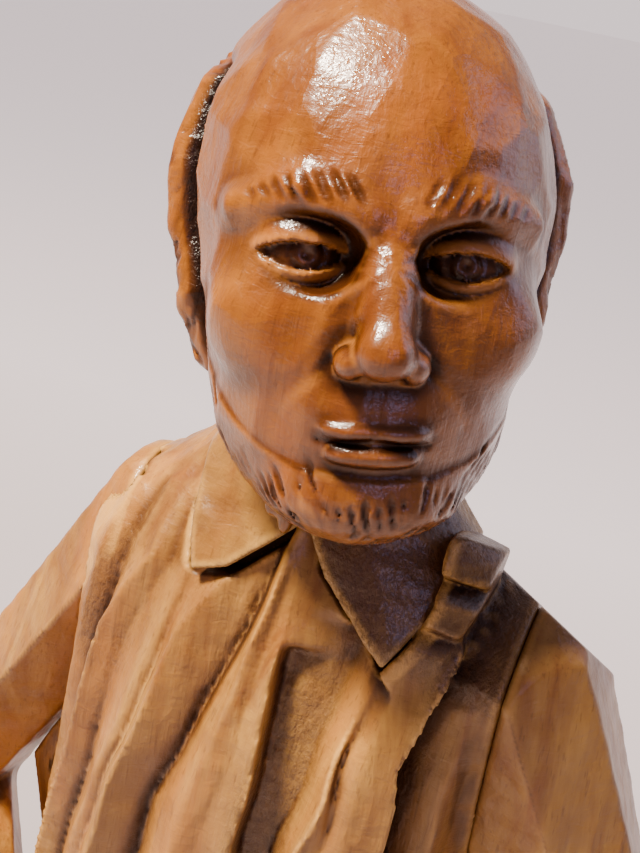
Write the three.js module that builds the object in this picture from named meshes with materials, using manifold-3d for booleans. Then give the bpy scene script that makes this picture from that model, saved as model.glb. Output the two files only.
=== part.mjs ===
// A knife-carved wooden figurine: a bald, bearded man in an open jacket and a loose collared shirt, one
// hand in his jacket pocket. The body, head, arms and hand are separate carvings, dowelled and glued
// together on a plinth that is screwed on from below and covered with felt.
// Millimetres. +Z is up, the figure faces -Y, and its own left is +X. The origin is under the middle of
// the felt pad.
import * as THREE from "three";
import { mergeVertices } from "three/addons/utils/BufferGeometryUtils.js";
import Module from "manifold-3d";

const wasm = await Module();
wasm.setup();

// ---------------------------------------------------------------- driving dimensions
const FIT_GAP = 0.3; // glue line between neighbouring pieces
const FELT = { inset: 3, thickness: 1.5 };
const PLINTH = { halfWidth: 58, halfDepth: 42, thickness: 12, bevel: 2 };
const PLINTH_TOP = FELT.thickness + PLINTH.thickness;
const COLLAR_Z = 171; // where the shirt's two collar leaves meet in front
const HEM_Z = 92; // lower edge of the jacket
const SQUARENESS = 2.3; // exponent of the torso's outline: 2 is an ellipse

const HEAD = {
  centre: new THREE.Vector3(0, -5, 196),
  turn: THREE.MathUtils.degToRad(25), // to the figure's left
  raise: THREE.MathUtils.degToRad(9), // face tipped up
  lean: THREE.MathUtils.degToRad(6), // crown towards the figure's right
  around: 46,
  down: 34,
  frontDensity: 0.45, // how strongly the surface's columns crowd towards the face
};
// The masses of the head as ellipsoids, in its own frame: centre, then radii. The face looks along -Y.
const HEAD_MASSES = [
  [[0, 2, 5], [17.6, 20.5, 20.5]], // skull
  [[0, -4, -6], [14.8, 15.2, 18.6]], // face
  [[0, -8, -14], [11, 10, 10.5]], // bearded chin
  [[0, 5, 2], [19.2, 19, 13]], // hair round the sides and back
];
// Relief of the face: x, z, reach across, reach up and down, how proud. Entries off the middle are paired.
const FACE_RELIEF = [
  [7.2, 1, 4.4, 2.8, -2.6], // eye sockets
  [7, 0.4, 2.6, 1.6, 1.7], // eyes
  [7, 5, 5, 1.5, 1.3], // brows
  [10.5, -5, 4, 3.5, 0.9], // cheekbones
  [0, -0.5, 2.1, 4.6, 2.6], // bridge of the nose
  [0, -6.8, 3.1, 2.6, 3.7], // tip of the nose
  [3, -8.4, 1.5, 1.4, 1.5], // nostrils
  [0, -13.4, 4, 1, 0.9], // upper lip
  [0, -14.9, 4.6, 0.6, -1.1], // mouth
  [0, -16.3, 3.6, 1.1, 1], // lower lip
  [0, -21, 7.5, 3.5, 1.6], // chin beard
];
// Raised hair at the temple, then over the ear: centre and radii, in the head's frame, for its left side.
const SIDE_FORMS = [
  [[15.2, 5.5, 7], [4, 6.5, 9]],
  [[13.8, 6, -3], [3.8, 7.5, 8.5]],
];
const NECK = { radius: 8.5, bottom: 162, top: 186, middleY: 1, glueZ: 173 };
const DOWEL = { radius: 1.8, sides: 12, reach: 6, shoulderZ: 153 };
const WRIST_PEG = { radius: 1.5, inSleeve: 7, inHand: 5 };
const SCREW = { headRadius: 3.6, shankRadius: 1.75, length: 26, headDepth: 2.6, sunk: 0.6 };

const RIGHT_ARM = {
  side: -1,
  glueFace: 20, // distance of the flat glue face from the middle
  shoulder: new THREE.Vector3(-19.5, 0, 157.8),
  elbow: new THREE.Vector3(-46, 2, 110),
  cuff: new THREE.Vector3(-33.5, -9, 99),
  end: new THREE.Vector3(-26.5, -12.5, 94.5), // knuckles, hidden in the pocket
  radii: { shoulder: 7.4, elbow: 7.8, cuff: 6.6, end: 4.4 },
};
const LEFT_ARM = {
  side: 1,
  glueFace: 25,
  shoulder: new THREE.Vector3(24.5, 0, 152.3),
  elbow: new THREE.Vector3(38, 4, 125),
  cuff: new THREE.Vector3(37, -8, 102),
  radii: { shoulder: 10.8, elbow: 9.2, cuff: 7.6 },
};
// The flat that slopes down over the back of the left shoulder.
const LEFT_SLOPE = {
  point: new THREE.Vector3(14, 8, 165),
  normal: new THREE.Vector3(0.41, 0.43, 0.8).normalize(),
};
const LEG = {
  hip: new THREE.Vector3(11, 0, 100),
  ankle: new THREE.Vector3(13, 2, 31),
  hipRadius: 13,
  ankleRadius: 9.8,
  turnUpRadius: 10.8,
  turnUpHeight: 8,
};
const SHOE = { halfWidth: 7.6, halfLength: 18, height: 12, forward: 7, splay: THREE.MathUtils.degToRad(12) };

// Torso from hem to neck: height, half width, half depth, and how far its middle lies behind the origin.
const TORSO = [
  [HEM_Z, 27, 19.5, 1],
  [110, 25, 18.5, 0],
  [128, 24, 17.6, -1],
  [143, 24, 16.8, -1],
  [153, 25, 15.8, 0],
  [160, 24.5, 14.8, 1],
  [165, 20.8, 13.6, 1.5],
  [169, 16.8, 12.4, 1.5],
  [172.5, 13.6, 11.4, 1],
  [176, 10.8, 10.8, 1],
];
// Creases down the shirt and jacket: angle from the front at the neck and at the hem, in degrees, and how
// proud.
const CREASES = [
  [-180, -180, 1.6],
  [-150, -146, 0.9],
  [-122, -118, 2.0],
  [-96, -104, 2.8],
  [-84, -90, -0.6],
  [-62, -77, 2.0],
  [-58, -72, -0.8],
  [-36, -60, 1.0],
  [-22, -44, 3.0],
  [-8, -36, -1.0],
  [0, -14, 1.1],
  [4, -3, 0.5],
  [11, 9, 1.5],
  [15, 12, -1.1],
  [32, 19, -1.3],
  [36, 22, 1.6],
  [47, 36, 2.0],
  [56, 49, 2.6],
  [60, 54, -3.0],
  [66, 64, 1.8],
  [80, 92, 2.1],
  [110, 120, 1.0],
  [145, 150, 2.0],
  [180, 180, 1.6],
];
// The shirt's collar leaves in front view, as x and z above COLLAR_Z. They meet a little to the figure's
// left.
const COLLAR_LEAVES = [
  [[2.2, -1.2], [-0.6, -4], [-4.4, -7.8], [-8.2, -9.4], [-9.8, -5], [-11.4, 2], [-9, 7], [1, 7]],
  [[2.8, -1.6], [5.6, -5.4], [13.4, -12.2], [15.4, -8.4], [17.4, -1], [14, 2.5], [10, 7], [3, 7]],
];
const COLLAR_PROUD = 3;

// ---------------------------------------------------------------- solids and geometries
/** A closed three.js geometry as a manifold-3d solid, whichever way its faces wind. */
function solidOf(geometry) {
  const flat = geometry.index ? geometry.toNonIndexed() : geometry;
  const shell = new THREE.BufferGeometry().setAttribute("position", flat.getAttribute("position"));
  const merged = mergeVertices(shell, 1e-3);
  const corners = merged.index.array;
  const kept = [];
  for (let i = 0; i < corners.length; i += 3) {
    const [a, b, c] = [corners[i], corners[i + 1], corners[i + 2]];
    if (a !== b && b !== c && a !== c) kept.push(a, b, c);
  }
  const build = (triangles) =>
    new wasm.Manifold(
      new wasm.Mesh({
        numProp: 3,
        vertProperties: merged.attributes.position.array,
        triVerts: new Uint32Array(triangles),
      }),
    );
  const solid = build(kept);
  return solid.volume() >= 0 ? solid : build(kept.reverse());
}

/** A manifold-3d solid as a three.js geometry. */
function geometryOf(solid) {
  const mesh = solid.getMesh();
  const positions = new Float32Array(mesh.numVert * 3);
  for (let i = 0; i < mesh.numVert; i++) {
    positions.set(mesh.vertProperties.subarray(i * mesh.numProp, i * mesh.numProp + 3), i * 3);
  }
  const geometry = new THREE.BufferGeometry();
  geometry.setAttribute("position", new THREE.BufferAttribute(positions, 3));
  geometry.setIndex(new THREE.BufferAttribute(mesh.triVerts, 1));
  geometry.computeVertexNormals();
  return geometry;
}

const joined = (...solids) => solids.reduce((whole, piece) => whole.add(piece));
const without = (solid, ...cutters) => cutters.reduce((rest, cutter) => rest.subtract(cutter), solid);

/** Moves every vertex of a geometry with move(point) and returns the geometry. */
function reshaped(geometry, move) {
  const positions = geometry.getAttribute("position");
  const point = new THREE.Vector3();
  for (let i = 0; i < positions.count; i++) {
    point.fromBufferAttribute(positions, i);
    move(point);
    positions.setXYZ(i, point.x, point.y, point.z);
  }
  return geometry;
}

/** Stands a geometry made along +Y on the line from one point towards another. */
function aimed(geometry, from, to) {
  const direction = to.clone().sub(from).normalize();
  const turn = new THREE.Quaternion().setFromUnitVectors(new THREE.Vector3(0, 1, 0), direction);
  return geometry.applyQuaternion(turn).translate(from.x, from.y, from.z);
}

/** Two balls and the cone that wraps them. */
function roundCone(from, to, fromRadius, toRadius, sides = 16, steps = 3) {
  const length = from.distanceTo(to);
  const lean = Math.asin((fromRadius - toRadius) / length);
  const outline = [];
  for (let i = 0; i <= steps; i++) {
    const a = -Math.PI / 2 + ((lean + Math.PI / 2) * i) / steps;
    outline.push(new THREE.Vector2(fromRadius * Math.cos(a), fromRadius * Math.sin(a)));
  }
  for (let i = 0; i <= steps; i++) {
    const a = lean + ((Math.PI / 2 - lean) * i) / steps;
    outline.push(new THREE.Vector2(toRadius * Math.cos(a), length + toRadius * Math.sin(a)));
  }
  outline[0].x = 0;
  outline[outline.length - 1].x = 0;
  return solidOf(aimed(new THREE.LatheGeometry(outline, sides), from, to));
}

/** A cylinder from one point to another. */
function rod(from, to, radius, sides = DOWEL.sides) {
  const length = from.distanceTo(to);
  const geometry = new THREE.CylinderGeometry(radius, radius, length, sides).translate(0, length / 2, 0);
  return solidOf(aimed(geometry, from, to));
}

/** An ellipsoid with its poles up and down. */
function ellipsoid(centre, radii, across = 24, down = 16) {
  const geometry = new THREE.SphereGeometry(1, across, down).rotateX(Math.PI / 2);
  geometry.scale(radii.x, radii.y, radii.z).translate(centre.x, centre.y, centre.z);
  return solidOf(geometry);
}

function box(low, high) {
  const size = high.clone().sub(low);
  const geometry = new THREE.BoxGeometry(size.x, size.y, size.z);
  const middle = low.clone().add(high).multiplyScalar(0.5);
  return solidOf(geometry.translate(middle.x, middle.y, middle.z));
}

const at = (x, y, z) => new THREE.Vector3(x, y, z);
const mirrored = (point) => at(-point.x, point.y, point.z);

// ---------------------------------------------------------------- torso
/** The rows on each side of a value in a table's first column, and the share of the way between them. */
function bracket(table, value) {
  let i = 1;
  while (i < table.length - 1 && table[i][0] < value) i++;
  const [low, high] = [table[i - 1], table[i]];
  const share = THREE.MathUtils.clamp((value - low[0]) / (high[0] - low[0]), 0, 1);
  return { low, high, share };
}

/** How proud the creased cloth stands at an angle from the front and a height. */
function creaseHeight(angle, z) {
  const degrees = THREE.MathUtils.radToDeg(angle);
  const fall = THREE.MathUtils.clamp((COLLAR_Z - z) / (COLLAR_Z - HEM_Z), 0, 1);
  const lines = CREASES.map(([top, bottom, proud]) => [top + (bottom - top) * fall, proud]);
  const { low, high, share } = bracket(lines, degrees);
  const fade = THREE.MathUtils.smoothstep(COLLAR_Z - z, -4, 14);
  return (low[1] + (high[1] - low[1]) * share) * fade;
}

/** The torso as a loft of rounded outlines, grown outwards by some millimetres. */
function torsoSolid(proud = 0, around = 60) {
  const outline = [new THREE.Vector2(0, HEM_Z)];
  TORSO.forEach(([z]) => outline.push(new THREE.Vector2(1, z)));
  outline.push(new THREE.Vector2(0, TORSO[TORSO.length - 1][0]));
  const geometry = new THREE.LatheGeometry(outline, around).rotateX(Math.PI / 2);
  const flattened = (v) => Math.sign(v) * Math.abs(v) ** (2 / SQUARENESS);
  reshaped(geometry, (point) => {
    const { low, high, share } = bracket(TORSO, point.z);
    const [halfWidth, halfDepth, middle] = [1, 2, 3].map((k) => low[k] + (high[k] - low[k]) * share);
    if (Math.hypot(point.x, point.y) < 0.5) {
      point.set(0, middle, point.z);
      return;
    }
    const angle = Math.atan2(point.x, -point.y);
    const x = halfWidth * flattened(Math.sin(angle));
    const y = -halfDepth * flattened(Math.cos(angle));
    const stretch = 1 + (proud + creaseHeight(angle, point.z)) / Math.hypot(x, y);
    point.set(x * stretch, middle + y * stretch, point.z);
  });
  return solidOf(geometry);
}

/** The two collar leaves: patches of a thicker torso, cut out in front view. */
function collarLeaves() {
  const thick = torsoSolid(COLLAR_PROUD);
  const leaves = COLLAR_LEAVES.map((corners) => {
    const outline = new THREE.Shape(corners.map(([x, z]) => new THREE.Vector2(x, z)));
    const prism = new THREE.ExtrudeGeometry(outline, { depth: 40, bevelEnabled: false });
    return solidOf(prism.rotateX(Math.PI / 2).translate(0, 0, COLLAR_Z)).intersect(thick);
  });
  return joined(...leaves);
}

/** Everything above the flat that slopes down over the back of the left shoulder. */
function slopeCutter() {
  const turn = new THREE.Quaternion().setFromUnitVectors(at(0, 0, 1), LEFT_SLOPE.normal);
  const { x, y, z } = LEFT_SLOPE.point;
  const slab = new THREE.BoxGeometry(80, 80, 40).translate(0, 0, 20);
  return solidOf(slab.applyQuaternion(turn).translate(x, y, z));
}

/** The jacket's rolled collar, standing up round the back of the neck from shoulder to shoulder. */
function jacketCollar() {
  const spine = [at(17.6, -12, 167.5), at(18.6, -3, 165), at(13.6, 8, 162.5), at(4, 13, 167)];
  spine.push(at(-4, 13, 168.5), at(-13, 9, 168.2), at(-16.5, 1, 166.6));
  const section = new THREE.Shape().absellipse(0, 0, 3.4, 3.0, 0, Math.PI * 2);
  const path = new THREE.CatmullRomCurve3(spine);
  return solidOf(new THREE.ExtrudeGeometry(section, { steps: 18, curveSegments: 4, extrudePath: path }));
}

// ---------------------------------------------------------------- legs and shoes
function legSolid(side) {
  const hip = side < 0 ? mirrored(LEG.hip) : LEG.hip;
  const ankle = side < 0 ? mirrored(LEG.ankle) : LEG.ankle;
  const trouser = roundCone(hip, ankle, LEG.hipRadius, LEG.ankleRadius);
  const turnUp = rod(at(ankle.x, ankle.y, ankle.z - LEG.turnUpHeight), ankle, LEG.turnUpRadius, 18);
  const below = box(at(-60, -60, 0), at(60, 60, ankle.z - LEG.turnUpHeight));
  return without(joined(trouser, turnUp), below);
}

function shoeSolid(side) {
  const heel = side < 0 ? mirrored(LEG.ankle) : LEG.ankle;
  const upper = new THREE.SphereGeometry(1, 20, 12).rotateX(Math.PI / 2);
  upper.scale(SHOE.halfWidth, SHOE.halfLength, SHOE.height).translate(0, -SHOE.forward, 0);
  const welt = new THREE.CylinderGeometry(1, 1, 3, 24).rotateX(Math.PI / 2);
  welt.scale(SHOE.halfWidth + 0.7, SHOE.halfLength + 0.7, 1).translate(0, -SHOE.forward, 1.5);
  const placed = [upper, welt].map((piece) =>
    solidOf(piece.rotateZ(side * SHOE.splay).translate(heel.x, heel.y, PLINTH_TOP)),
  );
  return without(joined(...placed), box(at(-60, -60, 0), at(60, 60, PLINTH_TOP)));
}

// ---------------------------------------------------------------- arms and hand
/** A bent sleeve as two round cones. It runs on into the shoulder, past the flat glue face. */
function wholeSleeve({ shoulder, elbow, cuff, radii }, extra) {
  const upper = roundCone(shoulder, elbow, radii.shoulder + extra, radii.elbow + extra);
  const lower = roundCone(elbow, cuff, radii.elbow + extra, radii.cuff + extra);
  return joined(upper, lower);
}

/** The half space on the body's side of an arm's glue face, moved outwards by some millimetres. */
function bodySide({ side, glueFace }, outwards) {
  const cut = side * (glueFace + outwards);
  return side < 0 ? box(at(cut, -60, 120), at(60, 60, 200)) : box(at(-60, -60, 120), at(cut, 60, 200));
}

/** The glued-on part of a sleeve. extra makes a cutter. */
const sleeve = (arm, extra = 0) => wholeSleeve(arm, extra).subtract(bodySide(arm, FIT_GAP - extra));

/** The part of a sleeve that is carved in one with the body. */
const shoulderStump = (arm) => wholeSleeve(arm, 0).intersect(bodySide(arm, 0));

/** The forearm's wrist and knuckles, which go down inside the jacket pocket. */
function pocketedHand(extra = 0) {
  const { cuff, end, radii } = RIGHT_ARM;
  return roundCone(cuff, end, radii.end + 0.8 + extra, radii.end + extra, 14);
}

const shoulderDowel = ({ side, glueFace }, extra = 0) =>
  rod(
    at(side * (glueFace - DOWEL.reach - extra), 0, DOWEL.shoulderZ),
    at(side * (glueFace + DOWEL.reach + extra), 0, DOWEL.shoulderZ),
    DOWEL.radius + extra,
  );

const sleeveAxis = LEFT_ARM.cuff.clone().sub(LEFT_ARM.elbow).normalize();
const alongSleeve = (distance) => LEFT_ARM.cuff.clone().addScaledVector(sleeveAxis, distance);
const SLEEVE_END = 3; // the left cuff is cut off square this far past its last ball's centre

const wristPeg = (extra = 0) =>
  rod(
    alongSleeve(SLEEVE_END - WRIST_PEG.inSleeve - extra),
    alongSleeve(SLEEVE_END + WRIST_PEG.inHand + extra),
    WRIST_PEG.radius + extra,
    12,
  );

/** Wrist, palm, four fingers and a thumb, hanging from the left cuff with the fingers a little curled. */
function handSolid() {
  const wrist = alongSleeve(SLEEVE_END + FIT_GAP);
  const palmEnd = at(wrist.x - 0.5, wrist.y - 4.2, wrist.z - 9.5);
  const palm = roundCone(alongSleeve(SLEEVE_END + 4), palmEnd, 4, 4.4, 14);
  const stub = rod(wrist, alongSleeve(SLEEVE_END + 5), 3.8);
  const spread = [-3.6, -1.2, 1.2, 3.5]; // little finger at the back
  const reach = [8, 9.6, 9.8, 8.8];
  const fingers = spread.map((across, i) => {
    const knuckle = palmEnd.clone().add(at(0.6, -across, -1));
    const middle = knuckle.clone().add(at(-0.6, -1.6, -reach[i] * 0.55));
    const tip = knuckle.clone().add(at(-2.6, -1.2, -reach[i]));
    return joined(roundCone(knuckle, middle, 1.9, 1.75, 7, 2), roundCone(middle, tip, 1.75, 1.4, 7, 2));
  });
  const thumbRoot = palmEnd.clone().add(at(-1.8, -3.2, 3.5));
  const thumb = roundCone(thumbRoot, thumbRoot.clone().add(at(-1.6, -2.4, -7)), 2.1, 1.6, 8, 2);
  return joined(stub, palm, thumb, ...fingers);
}

const leftCuff = (extra = 0) =>
  rod(alongSleeve(-4 - extra), alongSleeve(SLEEVE_END + extra), LEFT_ARM.radii.cuff + 0.6 + extra, 18);

function leftArmSolid() {
  const squareEnd = rod(alongSleeve(SLEEVE_END), alongSleeve(SLEEVE_END + 20), 20);
  const holes = [wristPeg(FIT_GAP), shoulderDowel(LEFT_ARM, FIT_GAP)];
  return without(joined(sleeve(LEFT_ARM), leftCuff()), squareEnd, slopeCutter(), ...holes);
}

const rightArmSolid = () =>
  without(joined(sleeve(RIGHT_ARM), pocketedHand()), shoulderDowel(RIGHT_ARM, FIT_GAP));

// ---------------------------------------------------------------- head
/** Carries a geometry from the head's own frame to its place on the neck. */
const placedHead = (geometry) =>
  geometry
    .rotateX(-HEAD.raise)
    .rotateY(-HEAD.lean)
    .rotateZ(HEAD.turn)
    .translate(HEAD.centre.x, HEAD.centre.y, HEAD.centre.z);

/** How far a ray from the head's middle runs before it leaves an ellipsoid, or 0 if it misses it. */
function reachOf([centre, radii], direction, extra) {
  let [a, b, c] = [0, 0, -1];
  direction.toArray().forEach((along, k) => {
    const radius = radii[k] + extra;
    a += (along / radius) ** 2;
    b -= (along * centre[k]) / radius ** 2;
    c += (centre[k] / radius) ** 2;
  });
  const inside = b * b - a * c;
  return inside < 0 ? 0 : Math.max(0, (Math.sqrt(inside) - b) / a);
}

/** Sum of the face's bumps and hollows at a point seen from the front. */
const reliefAt = (x, z) =>
  FACE_RELIEF.reduce((sum, [bx, bz, across, upDown, proud]) => {
    const sides = bx === 0 ? [0] : [-bx, bx];
    const bump = (cx) => Math.exp(-(((x - cx) / across) ** 2) - ((z - bz) / upDown) ** 2);
    const here = sides.map((cx) => proud * bump(cx));
    return sum + here.reduce((total, value) => total + value);
  }, 0);

/** The head's masses as one skin. extra grows them and leaves the relief off, for a cutter. */
function headSkin(extra = 0) {
  const geometry = new THREE.SphereGeometry(1, HEAD.around, HEAD.down).rotateX(Math.PI / 2);
  reshaped(geometry, (point) => {
    const level = Math.hypot(point.x, point.y);
    const even = Math.atan2(point.x, -point.y);
    const angle = even - HEAD.frontDensity * Math.sin(even);
    point.set(level * Math.sin(angle), -level * Math.cos(angle), point.z);
    const reach = Math.max(...HEAD_MASSES.map((mass) => reachOf(mass, point, extra)));
    point.multiplyScalar(reach);
    if (extra === 0 && point.y < 0) point.y -= reliefAt(point.x, point.z);
  });
  return solidOf(placedHead(geometry));
}

/** The raised hair on both sides of the head. */
function sideForms() {
  const forms = SIDE_FORMS.flatMap(([[x, y, z], radii]) =>
    [-1, 1].map((side) => {
      const geometry = new THREE.SphereGeometry(1, 14, 10).rotateX(Math.PI / 2);
      return solidOf(placedHead(geometry.scale(...radii).translate(side * x, y, z)));
    }),
  );
  return joined(...forms);
}

function headSolid() {
  const foot = at(0, NECK.middleY, NECK.bottom + FIT_GAP);
  const neck = rod(foot, at(0, NECK.middleY, NECK.top), NECK.radius, 24);
  return without(joined(headSkin(), sideForms(), neck), neckDowel(FIT_GAP), glueBead(FIT_GAP));
}

const neckDowel = (extra = 0) =>
  rod(
    at(0, NECK.middleY, NECK.bottom - 12 - extra),
    at(0, NECK.middleY, NECK.bottom + 12 + extra),
    DOWEL.radius + extra,
  );

function glueBead(extra = 0) {
  const bead = new THREE.TorusGeometry(NECK.radius + 0.6, 0.9 + extra, 6, 22);
  return solidOf(bead.translate(0, NECK.middleY, NECK.glueZ));
}

// ---------------------------------------------------------------- body block
function bodySolid() {
  const waist = ellipsoid(at(0, 0, HEM_Z + 6), at(23, 16.5, 14));
  const chest = joined(torsoSolid(), shoulderStump(LEFT_ARM)).subtract(slopeCutter());
  const upper = joined(chest, shoulderStump(RIGHT_ARM), collarLeaves(), jacketCollar());
  const lower = joined(waist, legSolid(-1), legSolid(1), shoeSolid(-1), shoeSolid(1));
  const socket = rod(
    at(0, NECK.middleY, NECK.bottom),
    at(0, NECK.middleY, NECK.top + 20),
    NECK.radius + FIT_GAP,
    24,
  );
  const armBeds = [
    sleeve(RIGHT_ARM, FIT_GAP),
    pocketedHand(FIT_GAP),
    sleeve(LEFT_ARM, FIT_GAP),
    leftCuff(FIT_GAP),
  ];
  const shoulderHoles = [RIGHT_ARM, LEFT_ARM].map((arm) => shoulderDowel(arm, FIT_GAP));
  const screwHoles = [-1, 1].map((side) => screwSolid(side, FIT_GAP));
  return without(
    joined(upper, lower),
    headSkin(FIT_GAP * 2),
    socket,
    glueBead(FIT_GAP),
    ...armBeds,
    neckDowel(FIT_GAP),
    ...shoulderHoles,
    ...screwHoles,
  );
}

// ---------------------------------------------------------------- plinth, felt and screws
function ovalSlab(inset, bottom, thickness, bevel) {
  const outline = new THREE.Shape();
  const [halfWidth, halfDepth] = [PLINTH.halfWidth - inset - bevel, PLINTH.halfDepth - inset - bevel];
  outline.absellipse(0, 0, halfWidth, halfDepth, 0, Math.PI * 2);
  const geometry = new THREE.ExtrudeGeometry(outline, {
    depth: thickness - 2 * bevel,
    curveSegments: 18,
    bevelEnabled: bevel > 0,
    bevelThickness: bevel,
    bevelSize: bevel,
    bevelSegments: 1,
  });
  return solidOf(geometry.translate(0, 0, bottom + bevel));
}

/** A countersunk wood screw, head down, from just inside the plinth's underside up into the heel. */
function screwSolid(side, extra = 0) {
  const { headRadius, shankRadius, length, headDepth } = SCREW;
  const outline = [
    [0, -extra],
    [headRadius + extra, -extra],
    [shankRadius + extra, headDepth],
    [shankRadius + extra, length - 5],
    [0, length + extra],
  ].map(([radius, height]) => new THREE.Vector2(radius, height));
  const geometry = new THREE.LatheGeometry(outline, 16).rotateX(Math.PI / 2);
  return solidOf(geometry.translate(side * LEG.ankle.x, LEG.ankle.y, FELT.thickness + SCREW.sunk));
}

function plinthSolid() {
  const slab = ovalSlab(0, FELT.thickness, PLINTH.thickness, PLINTH.bevel);
  const mouths = [-1, 1].map((side) =>
    rod(
      at(side * LEG.ankle.x, LEG.ankle.y, 0),
      at(side * LEG.ankle.x, LEG.ankle.y, FELT.thickness + SCREW.sunk),
      SCREW.headRadius + FIT_GAP,
      16,
    ),
  );
  return without(slab, ...mouths, screwSolid(-1, FIT_GAP), screwSolid(1, FIT_GAP));
}

// ---------------------------------------------------------------- materials and assembly
const wood = (color, roughness) => new THREE.MeshStandardMaterial({ color, roughness, metalness: 0 });
const MATERIALS = {
  bodyWood: wood(0xb98a52, 0.5),
  headWood: wood(0xa8632a, 0.32),
  plinthWood: wood(0x8a5a32, 0.5),
  dowelWood: wood(0xd8b98a, 0.7),
  glue: wood(0xc98f3c, 0.15),
  felt: wood(0x2f4a37, 0.95),
  steel: new THREE.MeshStandardMaterial({ color: 0x9c9fa3, roughness: 0.35, metalness: 1 }),
};

const figurine = new THREE.Group();
function addPiece(name, solid, material) {
  const piece = new THREE.Mesh(geometryOf(solid), material);
  piece.name = name;
  figurine.add(piece);
}

addPiece("felt_pad", ovalSlab(FELT.inset, 0, FELT.thickness, 0), MATERIALS.felt);
addPiece("plinth", plinthSolid(), MATERIALS.plinthWood);
addPiece("right_plinth_screw", screwSolid(-1), MATERIALS.steel);
addPiece("left_plinth_screw", screwSolid(1), MATERIALS.steel);
addPiece("figure_body", bodySolid(), MATERIALS.bodyWood);
addPiece("right_arm", rightArmSolid(), MATERIALS.bodyWood);
addPiece("left_arm", leftArmSolid(), MATERIALS.bodyWood);
addPiece("right_shoulder_dowel", shoulderDowel(RIGHT_ARM), MATERIALS.dowelWood);
addPiece("left_shoulder_dowel", shoulderDowel(LEFT_ARM), MATERIALS.dowelWood);
addPiece("left_hand", without(handSolid(), wristPeg(FIT_GAP)), MATERIALS.headWood);
addPiece("left_wrist_peg", wristPeg(), MATERIALS.dowelWood);
addPiece("head", headSolid(), MATERIALS.headWood);
addPiece("neck_dowel", neckDowel(), MATERIALS.dowelWood);
addPiece("neck_glue_bead", glueBead(), MATERIALS.glue);

export default figurine;
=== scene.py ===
"""Looks for the carved wooden figurine.

Every visible wooden piece is sculpted as a signed distance field in millimetres, meshed by surface nets,
and given a procedural wood material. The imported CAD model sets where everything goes.
"""
import math

import bpy
import numpy as np
from mathutils import Matrix


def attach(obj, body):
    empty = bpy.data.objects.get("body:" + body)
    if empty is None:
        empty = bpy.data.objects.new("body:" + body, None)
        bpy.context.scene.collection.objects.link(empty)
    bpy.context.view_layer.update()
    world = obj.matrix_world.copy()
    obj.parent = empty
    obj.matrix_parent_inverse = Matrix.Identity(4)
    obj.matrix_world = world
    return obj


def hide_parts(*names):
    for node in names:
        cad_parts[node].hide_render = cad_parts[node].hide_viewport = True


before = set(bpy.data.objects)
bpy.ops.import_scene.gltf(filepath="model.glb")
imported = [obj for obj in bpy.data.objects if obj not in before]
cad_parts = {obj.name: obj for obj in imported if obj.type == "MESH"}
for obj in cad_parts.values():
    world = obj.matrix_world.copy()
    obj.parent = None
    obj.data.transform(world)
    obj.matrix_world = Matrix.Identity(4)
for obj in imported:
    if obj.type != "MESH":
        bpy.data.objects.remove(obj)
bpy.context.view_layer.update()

MM = 0.001
VOXEL_SCALE = 1.0
FAR = 50.0  # stands for any distance too large to matter
rng = np.random.default_rng(7)


# ---------------------------------------------------------------- vectors and points
def vec(*xyz):
    return np.array(xyz, dtype=np.float64)


def unit(v):
    return v / np.linalg.norm(v)


def turn(axis, degrees):
    """Rotation matrix about one of the frame's axes, 0, 1 or 2."""
    c, s = math.cos(math.radians(degrees)), math.sin(math.radians(degrees))
    i, j = (axis + 1) % 3, (axis + 2) % 3
    m = np.eye(3)
    m[i, i], m[i, j], m[j, i], m[j, j] = c, -s, s, c
    return m


class Spot:
    """A batch of points that lie close together."""

    def __init__(self, points):
        self.p = points
        self.centre = points.mean(axis=0)
        self.radius = float(np.sqrt(((points - self.centre) ** 2).sum(axis=1).max()))

    def near(self, centre, reach):
        return np.linalg.norm(self.centre - centre) < reach + self.radius

    def moved(self, origin, matrix):
        """The same points in a frame whose axes are the matrix's columns."""
        return Spot((self.p - origin) @ matrix)

    def folded(self):
        """The points mirrored to the positive x side."""
        q = self.p.copy()
        q[:, 0] = np.abs(q[:, 0])
        return Spot(q)


# ---------------------------------------------------------------- distance fields
def ball(p, centre, radius):
    return np.sqrt(((p - centre) ** 2).sum(axis=1)) - radius


def ellipsoid(p, centre, radii):
    q = (p - centre) / radii
    k0 = np.sqrt((q**2).sum(axis=1)) + 1e-9
    k1 = np.sqrt(((q / radii) ** 2).sum(axis=1)) + 1e-9
    return k0 * (k0 - 1) / k1


def cone(p, a, b, ra, rb):
    """A round cone from a to b."""
    ab = b - a
    t = np.clip(((p - a) @ ab) / (ab @ ab), 0, 1)
    return np.sqrt(((p - a - t[:, None] * ab) ** 2).sum(axis=1)) - (ra + (rb - ra) * t)


def chain(p, stops):
    """Round cones through (point, radius) stops."""
    parts = [cone(p, a, b, ra, rb) for (a, ra), (b, rb) in zip(stops, stops[1:])]
    return np.minimum.reduce(parts)


def plane(p, point, normal):
    return (p - point) @ unit(normal)


def merge(a, b, k):
    """Union with a fillet of about k."""
    h = np.clip(0.5 + 0.5 * (b - a) / k, 0, 1)
    return b + (a - b) * h - k * h * (1 - h)


def carve(a, b, k):
    """a without b, with the edge rounded by about k."""
    return -merge(-a, b, k)


def cross(a, b, k):
    """The part inside both, with the edge rounded by about k."""
    return -merge(-a, -b, k)


def vee(across, width, depth):
    """Depth of a V-shaped cut at a distance from its middle line."""
    return depth * np.clip(1 - np.abs(across) / width, 0, 1)


def smoothstep(x, low, high):
    t = np.clip((x - low) / (high - low), 0, 1)
    return t * t * (3 - 2 * t)


WAVES = [(unit(rng.normal(size=3)), rng.uniform(0, 2 * math.pi)) for _ in range(9)]


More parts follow.
